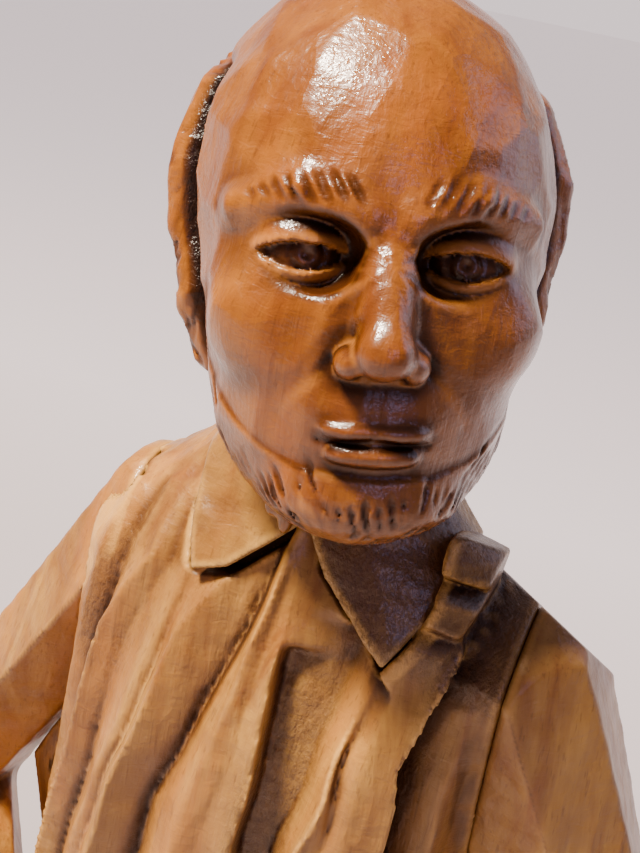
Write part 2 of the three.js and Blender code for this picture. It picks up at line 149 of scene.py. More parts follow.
def wobble(p, wavelength):
    """Smooth unevenness between about -1 and 1."""
    scale = 2 * math.pi / wavelength
    total = 0
    for i, (direction, phase) in enumerate(WAVES):
        total = total + np.sin((p @ direction) * scale * (0.7 + 0.09 * i) + phase)
    return total / 4.0


def segment_distance(p, a, b):
    """Distance from the line between a and b, and how far along it the nearest point lies, from 0 to 1."""
    ab = b - a
    t = np.clip(((p - a) @ ab) / (ab @ ab + 1e-12), 0, 1)
    return np.sqrt(((p - a - t[:, None] * ab) ** 2).sum(axis=1)), t


def line_distance(p, a, b):
    return segment_distance(p, a, b)[0]


class Strokes:
    """Short V-shaped knife cuts that each run from a to b."""

    def __init__(self, a, b, width, depth):
        self.a, self.b, self.width, self.depth = a, b, width, depth
        self.middle = (a + b) / 2
        self.reach = np.linalg.norm(b - a, axis=1) / 2 + width

    def cut(self, spot):
        """How deep the cuts are at each point."""
        total = np.zeros(len(spot.p))
        close = np.linalg.norm(self.middle - spot.centre, axis=1) < self.reach + spot.radius
        for i in np.nonzero(close)[0]:
            r, t = segment_distance(spot.p, self.a[i], self.b[i])
            taper = np.minimum(1, 3.2 * np.minimum(t + 0.08, 1.04 - t))
            total = np.maximum(total, vee(r, self.width[i], self.depth[i]) * taper)
        return total


def gradient(field, points, h=0.05):
    steps = [field(points + h * e) - field(points - h * e) for e in np.eye(3)]
    g = np.stack(steps, axis=1)
    return g / (np.linalg.norm(g, axis=1, keepdims=True) + 1e-9)


def onto(field, points, rounds=6):
    """Points moved along the field's gradient onto its surface."""
    for _ in range(rounds):
        points = points - field(points)[:, None] * gradient(field, points)
    return points


# ---------------------------------------------------------------- knife facets
class FacetMap:
    """Lower envelope of shallow dishes over an unrolled surface: flats that meet in crisp ridges.

    The map repeats after across millimetres and reaches from low to high the other way. cell is the flats'
    size both ways, bend their radius of curvature both ways, and uneven how much their heights differ.
    """

    STEP = 0.4

    def __init__(self, across, low, high, cell, bend, uneven, seed):
        random = np.random.default_rng(seed)
        self.across, self.low = across, low
        columns = int(round(across / self.STEP))
        rows = int(round((high - low) / self.STEP)) + 1
        u = np.arange(columns) * across / columns
        v = low + np.arange(rows) * self.STEP
        self.map = np.full((columns, rows), FAR)
        across_count = max(1, int(round(across / cell[0])))
        along_count = int(math.ceil((high - low) / cell[1])) + 2
        for i in range(across_count):
            for j in range(along_count):
                cu = (i + random.uniform(-0.35, 0.35) + 0.5 * (j % 2)) * across / across_count
                cv = low + (j - 0.5 + random.uniform(-0.35, 0.35)) * cell[1]
                lift = random.uniform(0, uneven)
                skew = random.uniform(-0.25, 0.25)
                window = np.nonzero(np.abs(v - cv) < 2 * cell[1])[0]
                if len(window) == 0:
                    continue
                dv = v[window][None, :] - cv
                du = (u[:, None] - cu - skew * dv + across / 2) % across - across / 2
                dish = lift + du**2 / (2 * bend[0]) + dv**2 / (2 * bend[1])
                part = self.map[:, window]
                self.map[:, window] = np.minimum(part, dish)
        self.map -= self.map.mean()

    def at(self, u, v):
        columns, rows = self.map.shape
        fu = (u / self.across * columns) % columns
        fv = np.clip((v - self.low) / self.STEP, 0, rows - 1.001)
        iu, iv = fu.astype(int), fv.astype(int)
        tu, tv = fu - iu, fv - iv
        iu, iu2 = iu % columns, (iu + 1) % columns
        near = self.map[iu, iv] * (1 - tu) + self.map[iu2, iv] * tu
        far = self.map[iu, iv + 1] * (1 - tu) + self.map[iu2, iv + 1] * tu
        return near * (1 - tv) + far * tv


# ---------------------------------------------------------------- meshing
CORNERS = [(i, j, k) for i in (0, 1) for j in (0, 1) for k in (0, 1)]
BLOCK = 14  # grid samples along a block's side


def field_grid(shape, low, high, step, margin):
    """Samples of shape on a grid, exact near the surface and only signed elsewhere."""
    blocks = np.ceil((high - low) / step / BLOCK).astype(int)
    side = step * BLOCK
    index = np.stack(np.meshgrid(*[np.arange(n) for n in blocks], indexing="ij"), axis=-1).reshape(-1, 3)
    middles = low + (index + 0.5) * side - step / 2
    coarse = shape(Spot(middles))
    reach = side * math.sqrt(3) / 2 + margin
    values = np.empty(blocks * BLOCK, dtype=np.float32)
    local = np.stack(np.meshgrid(*[np.arange(BLOCK)] * 3, indexing="ij"), axis=-1).reshape(-1, 3) * step
    for place, d in zip(index, coarse):
        part = tuple(slice(i * BLOCK, (i + 1) * BLOCK) for i in place)
        if abs(d) > reach:
            values[part] = math.copysign(FAR, d)
            continue
        points = low + place * side + local
        values[part] = shape(Spot(points)).reshape(BLOCK, BLOCK, BLOCK)
    return values


def surface_nets(values):
    """Vertices, in grid steps, and quads of the zero surface."""
    inside = values < 0
    size = np.array(values.shape) - 1
    count = np.zeros(size, dtype=np.int8)
    for i, j, k in CORNERS:
        count += inside[i : i + size[0], j : j + size[1], k : k + size[2]]
    active = (count > 0) & (count < 8)
    cells = np.argwhere(active)
    index = np.full(active.shape, -1, dtype=np.int64)
    index[active] = np.arange(len(cells))
    corner = {c: values[cells[:, 0] + c[0], cells[:, 1] + c[1], cells[:, 2] + c[2]] for c in CORNERS}
    total = np.zeros((len(cells), 3))
    hits = np.zeros(len(cells))
    for c in CORNERS:
        for axis in range(3):
            if c[axis]:
                continue
            other = tuple(1 if a == axis else c[a] for a in range(3))
            v0, v1 = corner[c], corner[other]
            crossing = (v0 < 0) != (v1 < 0)
            t = np.where(crossing, v0 / np.where(crossing, v0 - v1, 1), 0)
            point = np.tile(np.array(c, dtype=float), (len(cells), 1))
            point[:, axis] += t
            total += point * crossing[:, None]
            hits += crossing
    vertices = cells + total / hits[:, None]
    quads = []
    for axis in range(3):
        b, c = (axis + 1) % 3, (axis + 2) % 3
        low_side = [slice(None)] * 3
        high_side = [slice(None)] * 3
        low_side[axis], high_side[axis] = slice(0, -1), slice(1, None)
        first, second = inside[tuple(low_side)], inside[tuple(high_side)]
        edges = np.argwhere(first != second)
        for side in (b, c):
            edges = edges[(edges[:, side] > 0) & (edges[:, side] < size[side])]
        outward = first[tuple(edges.T)]
        shifts = np.zeros((4, 3), dtype=int)
        shifts[1, b] = shifts[2, b] = shifts[2, c] = shifts[3, c] = -1
        ring = [index[tuple((edges + s).T)] for s in shifts]
        quad = np.stack(ring, axis=1)
        quad[~outward] = quad[~outward][:, ::-1]
        quads.append(quad)
    return vertices, np.concatenate(quads)


def sample(values, points):
    """Trilinear samples of a grid at points in grid steps."""
    top = np.array(values.shape) - 1.001
    points = np.clip(points, 0, top)
    i = points.astype(int)
    t = points - i
    total = 0
    for c in CORNERS:
        weight = np.prod([t[:, a] if c[a] else 1 - t[:, a] for a in range(3)], axis=0)
        total = total + weight * values[i[:, 0] + c[0], i[:, 1] + c[1], i[:, 2] + c[2]]
    return total


CAVITY_REACHES = (0.5, 1.0, 1.9, 3.6)  # millimetres out from the surface
RIDGE_REACH = 0.8
FIELD_MARGIN = 1.6  # how far from the surface the field is still exact
EASING = (0.55, -0.57) * 4  # shares of the way to the neighbours' middle


def relief_colours(values, vertices, step):
    """How hollow and how ridged the carving is at each vertex, each from 0 to 1."""
    steps = [sample(values, vertices + e) - sample(values, vertices - e) for e in np.eye(3)]
    normals = np.stack(steps, axis=1)
    normals /= np.linalg.norm(normals, axis=1, keepdims=True) + 1e-9
    hollow = 0
    for reach in CAVITY_REACHES:
        out = sample(values, vertices + normals * reach / step)
        hollow = hollow + np.clip(1 - out / reach, 0, 1) / len(CAVITY_REACHES)
    within = sample(values, vertices - normals * RIDGE_REACH / step)
    return hollow, np.clip(1 + within / RIDGE_REACH, 0, 1)


def smoothed(vertices, quads):
    """Vertices eased along the mesh and back again, which takes out the grid's steps but keeps the size."""
    pairs = np.concatenate([quads[:, [i, (i + 1) % 4]] for i in range(4)])
    first, second = pairs.T
    count = len(vertices)
    neighbours = np.bincount(first, minlength=count) + np.bincount(second, minlength=count)
    neighbours = np.maximum(neighbours, 1)
    for share in EASING:
        total = np.zeros_like(vertices)
        for axis in range(3):
            total[:, axis] += np.bincount(first, weights=vertices[second, axis], minlength=count)
            total[:, axis] += np.bincount(second, weights=vertices[first, axis], minlength=count)
        vertices = vertices + share * (total / neighbours[:, None] - vertices)
    return vertices


def sculpt(name, shape, low, high, step, patch=None):
    """An object whose surface is shape(spot) = 0. patch(points) paints the third colour channel."""
    step = step * VOXEL_SCALE
    low, high = vec(*low) - 2 * step, vec(*high) + 2 * step
    values = field_grid(shape, low, high, step, FIELD_MARGIN)
    vertices, quads = surface_nets(values)
    hollow, ridge = relief_colours(values, vertices, step)
    points = low + smoothed(vertices, quads) * step
    mesh = bpy.data.meshes.new(name)
    mesh.from_pydata((points * MM).tolist(), [], quads.tolist())
    mesh.update()
    mesh.shade_smooth()
    third = patch(points) if patch else np.zeros(len(points))
    colours = np.stack([hollow, ridge, third, np.ones(len(points))], axis=1)
    layer = mesh.color_attributes.new(name="carving", type="FLOAT_COLOR", domain="POINT")
    layer.data.foreach_set("color", colours.astype(np.float32).ravel())
    piece = bpy.data.objects.new(name, mesh)
    bpy.context.scene.collection.objects.link(piece)
    print(f"{name}: {2 * len(quads)} triangles")
    return piece


# ---------------------------------------------------------------- outlines
def polygon(x, z, corners):
    """Signed distance from a closed outline."""
    corners = np.array(corners, dtype=float)
    nearest = np.full(len(x), FAR)
    inside = np.zeros(len(x), dtype=bool)
    for (ax, az), (bx, bz) in zip(corners, np.roll(corners, -1, axis=0)):
        ex, ez = bx - ax, bz - az
        t = np.clip(((x - ax) * ex + (z - az) * ez) / (ex * ex + ez * ez), 0, 1)
        nearest = np.minimum(nearest, np.hypot(x - ax - t * ex, z - az - t * ez))
        crosses = ((az > z) != (bz > z)) & (x < (bx - ax) * (z - az) / (bz - az + 1e-12) + ax)
        inside ^= crosses
    return np.where(inside, -nearest, nearest)


# ---------------------------------------------------------------- head
HEAD_CENTRE = vec(0, -5, 196)
HEAD_FRAME = turn(2, 25) @ turn(1, -6) @ turn(0, -9)  # turned to its left, leaning, raised
NECK_Y, NECK_RADIUS = 1, 8.5
EYE = vec(6.9, -12.5, 0.1)
EYE_RADIUS = 4.1
# side outlines, as (y, z), in the head's own frame
HAIR_OUTLINE = [(0.6, 15), (-0.4, 9), (-0.6, 2), (-2.0, -5), (-1.8, -13), (7, -16)]
HAIR_OUTLINE += [(18, -13), (24, 0), (22, 11), (14, 18), (5, 19.5)]
BEARD_OUTLINE = [(-2.2, -8), (-5.5, -11.4), (-10, -14.2), (-14.5, -17.2), (-17, -18.4)]
BEARD_OUTLINE += [(-24, -18.4), (-26, -32), (2, -32), (4, -12)]


def head_masses(p):
    """Skull, face and bearded chin in the head's own frame."""
    skull = ellipsoid(p, vec(0, 2, 5), vec(17.6, 20.5, 20.5))
    face = ellipsoid(p, vec(0, -4, -6), vec(14.8, 15.2, 18.6))
    chin = ellipsoid(p, vec(0, -8, -14), vec(11, 10, 10.5))
    return merge(merge(skull, face, 4), chin, 4)


def hair_edge(p):
    """Positive outside the hair that runs round the sides and back of the head."""
    return polygon(p[:, 1], p[:, 2], HAIR_OUTLINE)


def beard_edge(p):
    """Positive outside the beard."""
    return polygon(p[:, 1], p[:, 2], BEARD_OUTLINE)


def nose(q):
    bridge = cone(q, vec(0, -16.9, 3.6), vec(0, -21.4, -6), 1.5, 1.9)
    root = ellipsoid(q, vec(0, -17, -4.4), vec(3.2, 4.0, 6.2))
    tip = ellipsoid(q, vec(0, -21.4, -7.2), vec(2.3, 2.4, 2.0))
    wing = ellipsoid(q, vec(2.5, -19.6, -8.1), vec(1.6, 2.2, 1.5))
    d = merge(merge(bridge, root, 1.4), tip, 1.6)
    d = merge(d, wing, 1.0)
    d = np.maximum(d, -9.6 - q[:, 2] + 0.25 * (q[:, 1] + 20))
    return carve(d, ellipsoid(q, vec(1.4, -20.8, -9.7), vec(0.8, 1.2, 1.0)), 0.3)


def lid_curve(x, rise):
    return EYE[2] + rise * (1 - ((x - EYE[0]) / 4.3) ** 2)


def eyes(q):
    x, _, z = q.T
    eyeball = ball(q, EYE, EYE_RADIUS)
    toward = np.sqrt((x - EYE[0] + 0.2) ** 2 + (z - EYE[2] - 0.1) ** 2)
    eyeball = eyeball + vee(toward - 1.45, 0.34, 0.26) + vee(toward, 0.7, 0.5)
    upper = np.maximum(ball(q, EYE, EYE_RADIUS + 0.75), lid_curve(x, 1.15) - z)
    lower = np.maximum(ball(q, EYE, EYE_RADIUS + 0.55), z - lid_curve(x, -1.3))
    return np.minimum(np.minimum(eyeball, upper), lower)


def lips(d, q):
    """Closed lips with a level line between them."""
    upper = ellipsoid(q, vec(1.5, -18.5, -13.9), vec(3.2, 1.7, 1.0))
    lower = ellipsoid(q, vec(0, -18.3, -16.0), vec(3.9, 1.9, 1.25))
    d = merge(d, upper, 0.5)
    d = merge(d, lower, 0.5)
    line = line_distance(q, vec(0, -20.2, -14.85), vec(4.7, -17.9, -14.95))
    under = line_distance(q, vec(0, -19.6, -17.7), vec(2.6, -18.9, -17.6))
    groove = line_distance(q, vec(0, -20.0, -10.2), vec(0, -20.0, -12.9))
    return d + vee(line, 0.45, 0.36) + vee(under, 1.0, 0.3) + vee(groove, 0.9, 0.3)


def face_features(d, q):
    """Brows, eyes, cheeks, nose and mouth on the masses d, in the folded frame."""
    brow = chain(q, [(vec(1.8, -17.6, 3.7), 1.5), (vec(7, -16.4, 5.6), 1.6), (vec(12.6, -12.2, 3.8), 1.3)])
    d = merge(d, brow, 1.6)
    d = carve(d, ellipsoid(q, vec(7.1, -18.0, 0.3), vec(5.2, 3.9, 3.3)), 0.8)
    d = merge(d, ball(q, vec(8.8, -10.9, -5.8), 5.9), 2.5)
    d = merge(d, eyes(q), 0.25)
    muzzle = ellipsoid(q, vec(0, -12.9, -13), vec(7.6, 6.6, 5.8))
    d = merge(d, muzzle, 1.8)
    d = merge(d, nose(q), 0.7)
    fold = line_distance(q, vec(3.9, -18.2, -8.2), vec(7.6, -15.4, -13.4))
    return lips(d + vee(fold, 1.1, 0.35), q)


def temple_recess(q):
    """Deep cut that falls away from the temple to the foot of the hair's front edge."""
    _, y, z = q.T
    ahead = hair_edge(q)
    height = smoothstep(z, -10, 0) * (1 - smoothstep(z, 12, 18))
    slope = np.clip((4.2 - ahead) / 3.4, 0, 1) * smoothstep(ahead, -2.4, -1.2)
    return 3.0 * slope * height * smoothstep(-y, -5, 0)


def smooth_head(q):
    """Head before the fine strokes and facets, in the folded frame."""
    masses = head_masses(q)
    z = q[:, 2]
    edge = hair_edge(q)
    hair = masses - 2.1 + 0.11 * np.clip(z - 7, 0, 12)
    hair = np.maximum(np.maximum(hair, edge), (hair + edge) * 0.7 + 1.0)
    d = merge(masses, ellipsoid(q, vec(0, -11.2, -19.2), vec(8.4, 7.2, 5.4)), 1.2)
    beard_depth = -beard_edge(q)
    beard = np.maximum(d - 0.25 - 0.9 * smoothstep(beard_depth, 0, 5), -beard_depth)
    d = face_features(d, q) + temple_recess(q)
    return merge(merge(d, hair, 0.2), beard, 0.6)


def unfolded_head(points):
    return smooth_head(Spot(points).folded().p)


def even_directions(count):
    """Unit vectors spread evenly over a ball along a golden-angle spiral."""
    k = np.arange(count) + 0.5
    z = 1 - 2 * k / count
    angle = k * math.pi * (3 - math.sqrt(5))
    level = np.sqrt(1 - z * z)
    return np.stack([level * np.cos(angle), level * np.sin(angle), z], axis=1)


TUFT_CUTS = 4
OUTSIDE_HEAD = 38  # millimetres from the head's middle


def tufted_strokes(edge, tufts, flow, length, spacing, width, depth, seed):
    """Tufts of parallel cuts inside an edge on the head, following flow(points).

    tufts is how many would cover the whole head. The cuts of a tuft lie side by side at the spacing.
    """
    random = np.random.default_rng(seed)
    middles = onto(unfolded_head, even_directions(tufts) * OUTSIDE_HEAD, rounds=9)
    middles = middles[edge(middles) < 0.5]
    along = flow(middles) + random.normal(scale=0.13, size=middles.shape)
    normals = gradient(unfolded_head, middles)
    along -= (along * normals).sum(axis=1, keepdims=True) * normals
    along /= np.linalg.norm(along, axis=1, keepdims=True)
    aside = np.cross(normals, along)
    starts, ends = [], []
    column = (len(middles), 1)
    for place in range(TUFT_CUTS):
        shift = aside * (place - (TUFT_CUTS - 1) / 2) * spacing
        shift = shift + along * random.uniform(-0.1, 0.1, column) * length
        half = along * random.uniform(0.75, 1.0, column) * length / 2
        starts.append(middles + shift - half)
        ends.append(middles + shift + half)
    a, b = onto(unfolded_head, np.concatenate(starts), 4), onto(unfolded_head, np.concatenate(ends), 4)
    inside = edge((a + b) / 2) < 0
    a, b = a[inside], b[inside]
    widths = width * random.uniform(0.85, 1.15, len(a))
    depths = depth * random.uniform(0.7, 1.15, len(a))
    return Strokes(a, b, widths, depths)


def hair_flow(points):
    x, y, z = points.T
    return np.stack([0 * x, 0.55 + 0.03 * (10 - y), -0.55 - 0.035 * (8 - z)], axis=1)


def beard_flow(points):
    x, y, z = points.T
    return np.stack([-0.035 * x, -0.35 + 0 * y, -1 + 0 * z], axis=1)


HAIR_STROKES = tufted_strokes(
    hair_edge, tufts=260, flow=hair_flow, length=6.5, spacing=1.1, width=0.5, depth=0.42, seed=3
)
BEARD_STROKES = tufted_strokes(
    beard_edge, tufts=400, flow=beard_flow, length=4.4, spacing=1.15, width=0.42, depth=0.48, seed=8
)


def brow_strokes():
    """Short slanting cuts along both eyebrows."""
    starts, ends = [], []
    for i in range(8):
        x = 2.4 + 1.25 * i
        depth_y = -18.6 + 0.028 * x * x
        starts.append([x, depth_y, 4.4 + 0.16 * i - 0.02 * i * i])
        ends.append([x + 1.6, depth_y + 0.5, 7.1 + 0.10 * i - 0.05 * i * i])
    flip = np.array([-1, 1, 1])
    a, b = onto(unfolded_head, np.array(starts), 4), onto(unfolded_head, np.array(ends), 4)
    a, b = np.concatenate([a, a * flip]), np.concatenate([b, b * flip])
    return Strokes(a, b, np.full(len(a), 0.5), np.full(len(a), 0.36))


BROW_STROKES = brow_strokes()
SKULL_RADIUS = 20  # the head's mean radius, for unrolling it
SKULL_FACETS = FacetMap(
    2 * math.pi * SKULL_RADIUS, 0, math.pi * SKULL_RADIUS, cell=(7.5, 6.5), bend=(26, 26), uneven=0.12, seed=11
)


def skull_facets(q):
    """Flats left by the knife, unrolled about an axis through the face so that the crown is even."""
    x, y, z = q.T
    u = np.arctan2(x, z) * SKULL_RADIUS
    v = np.arccos(np.clip(-y / (np.sqrt(x * x + y * y + z * z) + 1e-9), -1, 1)) * SKULL_RADIUS
    face_fade = smoothstep(v, 12, 24)
    return SKULL_FACETS.at(u, v) * (0.35 + 0.75 * face_fade)


def head_shape(spot):
    local = spot.moved(HEAD_CENTRE, HEAD_FRAME)
    q = local.folded().p
    d = smooth_head(q) - skull_facets(local.p) - 0.05 * wobble(local.p, 5.0)
    d = d + vee(hair_edge(q) - 0.2, 0.7, 0.4)
    for strokes in (HAIR_STROKES, BEARD_STROKES, BROW_STROKES):
        d = d + strokes.cut(local)
    neck = np.maximum(
        np.hypot(spot.p[:, 0], spot.p[:, 1] - NECK_Y) - NECK_RADIUS,
        np.maximum(162.3 - spot.p[:, 2], spot.p[:, 2] - 186),
    )
    return merge(d, neck, 1.0)


def temple_recess_shade(points):
    """Marks painted shade in the recess in front of the hair."""
    q = Spot((points - HEAD_CENTRE) @ HEAD_FRAME).folded().p
    depth = np.clip(0.9 - head_masses(q), 0, 1.2)
    ahead_of_hair = (q[:, 0] > 8) * (hair_edge(q) > -1.2)
    return np.clip(temple_recess(q) / 1.6, 0, 1) * np.minimum(depth, 1) * ahead_of_hair


def grown_head(spot):
    return head_masses((spot.p - HEAD_CENTRE) @ HEAD_FRAME) - 1.2


# ---------------------------------------------------------------- clothes on the torso
HEM_Z = 92
SQUARENESS = 2.3
# height, half width, half depth, how far the middle lies behind the origin
TORSO = np.array(
    [
        [86, 28, 20, 1],
        [HEM_Z, 27, 19.5, 1],
        [110, 25, 18.5, 0],
        [128, 24, 17.6, -1],
        [143, 24, 16.8, -1],
        [153, 25, 15.8, 0],
        [160, 24.5, 14.8, 1],
        [165, 20.8, 13.6, 1.5],
        [169, 16.8, 12.4, 1.5],
        [172.5, 13.6, 11.4, 1],
        [176, 10.8, 10.8, 1],
        [182, 9.5, 10, 1],
    ]
)
NECKBAND_Z = 175.5


def smooth_rows(table, step=0.5):
    """The table resampled finely along a Catmull-Rom curve."""
    heights = np.arange(table[0, 0], table[-1, 0], step)
    slopes = np.gradient(table[:, 1:], table[:, 0], axis=0)
    rows = []
    for z in heights:
        i = min(np.searchsorted(table[:, 0], z, side="right") - 1, len(table) - 2)
        span = table[i + 1, 0] - table[i, 0]
        t = (z - table[i, 0]) / span
        h00, h10 = (1 + 2 * t) * (1 - t) ** 2, t * (1 - t) ** 2
        h01, h11 = t * t * (3 - 2 * t), t * t * (t - 1)
        row = h00 * table[i, 1:] + h10 * span * slopes[i]
        row = row + h01 * table[i + 1, 1:] + h11 * span * slopes[i + 1]
        rows.append([z, *row])
    return np.array(rows)


TORSO_ROWS = smooth_rows(TORSO)
TORSO_SLOPES = np.gradient(TORSO_ROWS[:, 1:3], TORSO_ROWS[:, 0], axis=0)


def torso_side(p):
    """Distance from the torso's smooth side wall, and the angle round it from the front in degrees."""
    x, y, z = p.T
    half_width, half_depth, middle = [np.interp(z, TORSO_ROWS[:, 0], TORSO_ROWS[:, k]) for k in (1, 2, 3)]
    slope = [np.interp(z, TORSO_ROWS[:, 0], TORSO_SLOPES[:, k]) for k in (0, 1)]
    y = y - middle
    radial = np.hypot(x, y) + 1e-6
    across, deep = np.abs(x) / half_width, np.abs(y) / half_depth
    outline = (across**SQUARENESS + deep**SQUARENESS) ** (1 / SQUARENESS)
    lean = np.abs(x) / radial * slope[0] + np.abs(y) / radial * slope[1]
    side = radial * (1 - 1 / (outline + 1e-6)) / np.sqrt(1 + lean**2)
    return side, np.degrees(np.arctan2(x, -y))


# Each fold line runs from the hem to the neck as (height, degrees from the front, how proud). Cloth is flat
# between neighbouring lines. They go round from the middle of the back, by the figure's right side, to the
# back again.
FOLDS = [
    [(92, -180, 0.7), (170, -180, 0.5)],
    [(92, -166, -0.4), (170, -164, 0.0)],
    [(92, -150, 1.2), (170, -146, 0.8)],
    [(92, -146, 0.1), (170, -142, 0.2)],
    [(92, -124, 1.3), (170, -120, 0.6)],
    [(92, -112, -0.3), (170, -112, 0.0)],
    [(92, -98, 0.7), (140, -92, 0.7), (166, -96, 0.3)],
    [(92, -84, 1.5), (120, -76, 1.3), (141, -67, 1.0), (157, -62, 0.7), (167, -64, 0.5)],
    [(92, -80, 0.2), (120, -71, 0.2), (141, -63, -0.3), (157, -58.5, -0.5), (167, -60, 0.3)],
    [(92, -76, 1.3), (117, -67, 1.3), (134, -57, 1.1), (150, -54, 0.9), (160, -45, 0.6), (171, -51, 0.2)],
    [
        (92, -72, -0.5), (117, -63, -0.6), (134, -52.5, -0.5),
        (150, -49, -0.3), (160, -41, -0.1), (171, -47, 0.1),
    ],
    [(92, -60, 0.6), (120, -50, 0.6), (140, -39, 0.7), (155, -34, 0.5), (168, -30, 0.3)],
    [(92, -56, 0.3), (120, -46, 0.2), (140, -36, 0.4), (155, -31, 0.3), (168, -27, 0.2)],
    [
        (92, -44, 2.0), (127, -33.5, 1.8), (139, -31, 1.7), (145, -28, 1.6),
        (155, -25, 1.3), (160, -19, 1), (165, -8, 0.4),
    ],
    [
        (92, -36, -0.8), (127, -27, -0.8), (134, -25, -0.7), (140, -20, -0.7),
        (149, -13, -0.6), (157, -4, -0.4), (165, 1, 0),
    ],
    [(92, -26, 0.2), (127, -19, 0.1), (140, -14, 0.1), (149, -8, 0.2), (157, -1.5, 0.4), (165, 2.5, 0.6)],
    [(92, -14, 0.5), (128, -10, 0.6), (140, -7, 0.7), (151, -1, 0.9), (157, 1, 1.0), (165, 5, 1.1)],
    [(92, -3, 0.2), (130, -1, 0.3), (145, 3, 0.4), (156, 6, 0.4), (165, 8, 0.5)],
    [(92, 9, 1.0), (135, 11.5, 1.0), (145, 11.5, 1.0), (155, 10.5, 0.8), (159, 10.5, 0.5), (168, 12, 0.4)],
    [
        (92, 12, -0.7), (145, 14.6, -0.8), (155, 13.6, -0.8),
        (156.6, 13.8, -0.6), (157.8, 14, 0.5), (168, 15, 0.4),
    ],
    [
        (92, 18.5, -0.8), (125, 22, -1), (137, 26, -1), (144, 30, -1),
        (150, 32, -1), (157, 36, -0.8), (160.6, 38, -0.4), (162, 39, 0.4),
    ],
    [
        (92, 22, 0.9), (125, 25.6, 1.1), (137, 29.4, 1.1), (144, 33.4, 1.1),
        (150, 35.6, 1), (156, 40, 0.8), (162, 43, 0.6),
    ],
    [(92, 33.6, 0.5), (139, 36.6, 0.5), (149, 37.6, 0.5), (154, 42.2, 0.6), (162, 46, 0.7)],
    [(92, 36.8, 1.3), (139, 39.8, 1.3), (149, 40.6, 1.3), (154, 45, 1.2), (162, 49, 1.0)],
    [(92, 49, 1.6), (139, 50, 1.7), (145, 51, 1.7), (149, 49.5, 1.7), (155, 53, 1.7), (161, 59, 1.3)],
    [
        (92, 52.6, -2.0), (139, 53.6, -2.1), (145, 54.6, -2.1),
        (149, 53, -2.0), (155, 56, -1.3), (161, 62, 0.6),
    ],
    [(92, 57, -2.0), (139, 58, -2.1), (145, 57.8, -2.1), (155, 59, -1.3), (161, 64, 0.5)],
    [(92, 64, 1.2), (139, 64, 1.1), (155, 63, 1.0), (161, 68, 0.5)],
    [(92, 74, 0.5), (150, 72, 0.6), (165, 76, 0.3)],
    [(92, 89, 1.4), (150, 85, 0.9), (165, 90, 0.3)],
    [(92, 94, 0.2), (150, 92, 0.2), (165, 100, 0.0)],
    [(92, 118, 1.2), (170, 114, 0.5)],
    [(92, 133, -0.3), (170, 130, 0.0)],
    [(92, 151, 1.1), (170, 147, 0.7)],
    [(92, 156, 0.0), (170, 152, 0.2)],
    [(92, 180, 0.7), (170, 180, 0.5)],
]
FOLD_DEPTH = 1.75
FOLD_TABLES = [np.array(line).T for line in FOLDS]
CLOTH_RADIUS = 22  # the torso's mean radius, for unrolling it
CLOTH_ROUND = 2 * math.pi * CLOTH_RADIUS
CLOTH_FACETS = FacetMap(CLOTH_ROUND, 80, 185, cell=(7.0, 26), bend=(30, 420), uneven=0.22, seed=21)
FINE_FACETS = FacetMap(CLOTH_ROUND, 80, 185, cell=(3.4, 11), bend=(16, 160), uneven=0.10, seed=22)
FACETS_SHARE, FINE_SHARE = 0.9, 0.8
WANDER = 0.7  # degrees that the fold lines wander
FOLDS_END = (163, 174)  # heights between which the folds run out towards the neck


def fold_height(z, degrees):
    """How proud the cloth stands, in straight lines between the fold lines."""
    heights = [np.interp(z, table[0], table[2]) for table in FOLD_TABLES]
    angles = [np.interp(z, table[0], table[1]) for table in FOLD_TABLES]
    total = heights[0].copy()
    for k in range(len(FOLDS) - 1):
        share = np.clip((degrees - angles[k]) / (angles[k + 1] - angles[k]), 0, 1)
        total += (heights[k + 1] - heights[k]) * share
    return total


def rough_stain_and_painted_shade(points):
    """Marks where oil and staining sank in, at the torn grain and the frayed glue line, and where shade is
    painted: darker deep folds and a painted shadow of the head over the left shoulder.
    """
    _, degrees = torso_side(points)
    z = points[:, 2]
    torn = np.exp(-(((degrees - 17) / 9) ** 2) - ((z - 138) / 9) ** 2)
    frayed = np.exp(-(((degrees + 60) / 7) ** 2) - ((z - 150) / 9) ** 2)
    # painted shade on the cloth where the folds lie deepest, fading out towards the neck
    deep = 0.7 * np.clip(0.3 - fold_height(z, degrees), 0, 1) * (1 - smoothstep(z, 160, 168))
    # painted shadow of the head over the left shoulder, with a ragged edge
    ragged = points[:, 0] + 1.2 * wobble(points, 6.0)
    shoulder = smoothstep(ragged, 9, 14) * smoothstep(z + 0.5 * ragged, 164, 169)
    return np.clip(1.3 * (torn + frayed) + deep + shoulder, 0, 1)


def cloth(spot):
    """Shirt and jacket wrapped round the torso, from hem to neckband."""
    p = spot.p
    z = p[:, 2]
    side, degrees = torso_side(p)
    jog = WANDER * wobble(p * vec(0.3, 0.3, 1), 13.0)
    fade = 1 - smoothstep(z, *FOLDS_END)
    u = np.radians(degrees) * CLOTH_RADIUS
    relief = FOLD_DEPTH * fold_height(z, degrees + jog) * fade
    relief = relief + CLOTH_FACETS.at(u, z) * FACETS_SHARE + FINE_FACETS.at(u, z) * FINE_SHARE
    relief = relief + 0.10 * wobble(p, 1.3) * rough_stain_and_painted_shade(p) + 0.05 * wobble(p, 4.0)
    d = side - relief
    hem = HEM_Z + 0.9 * np.sin(np.radians(degrees) * 5 + 1) + 0.5 * np.sin(np.radians(degrees) * 11)
    return np.maximum(np.maximum(d, z - NECKBAND_Z), hem - z)


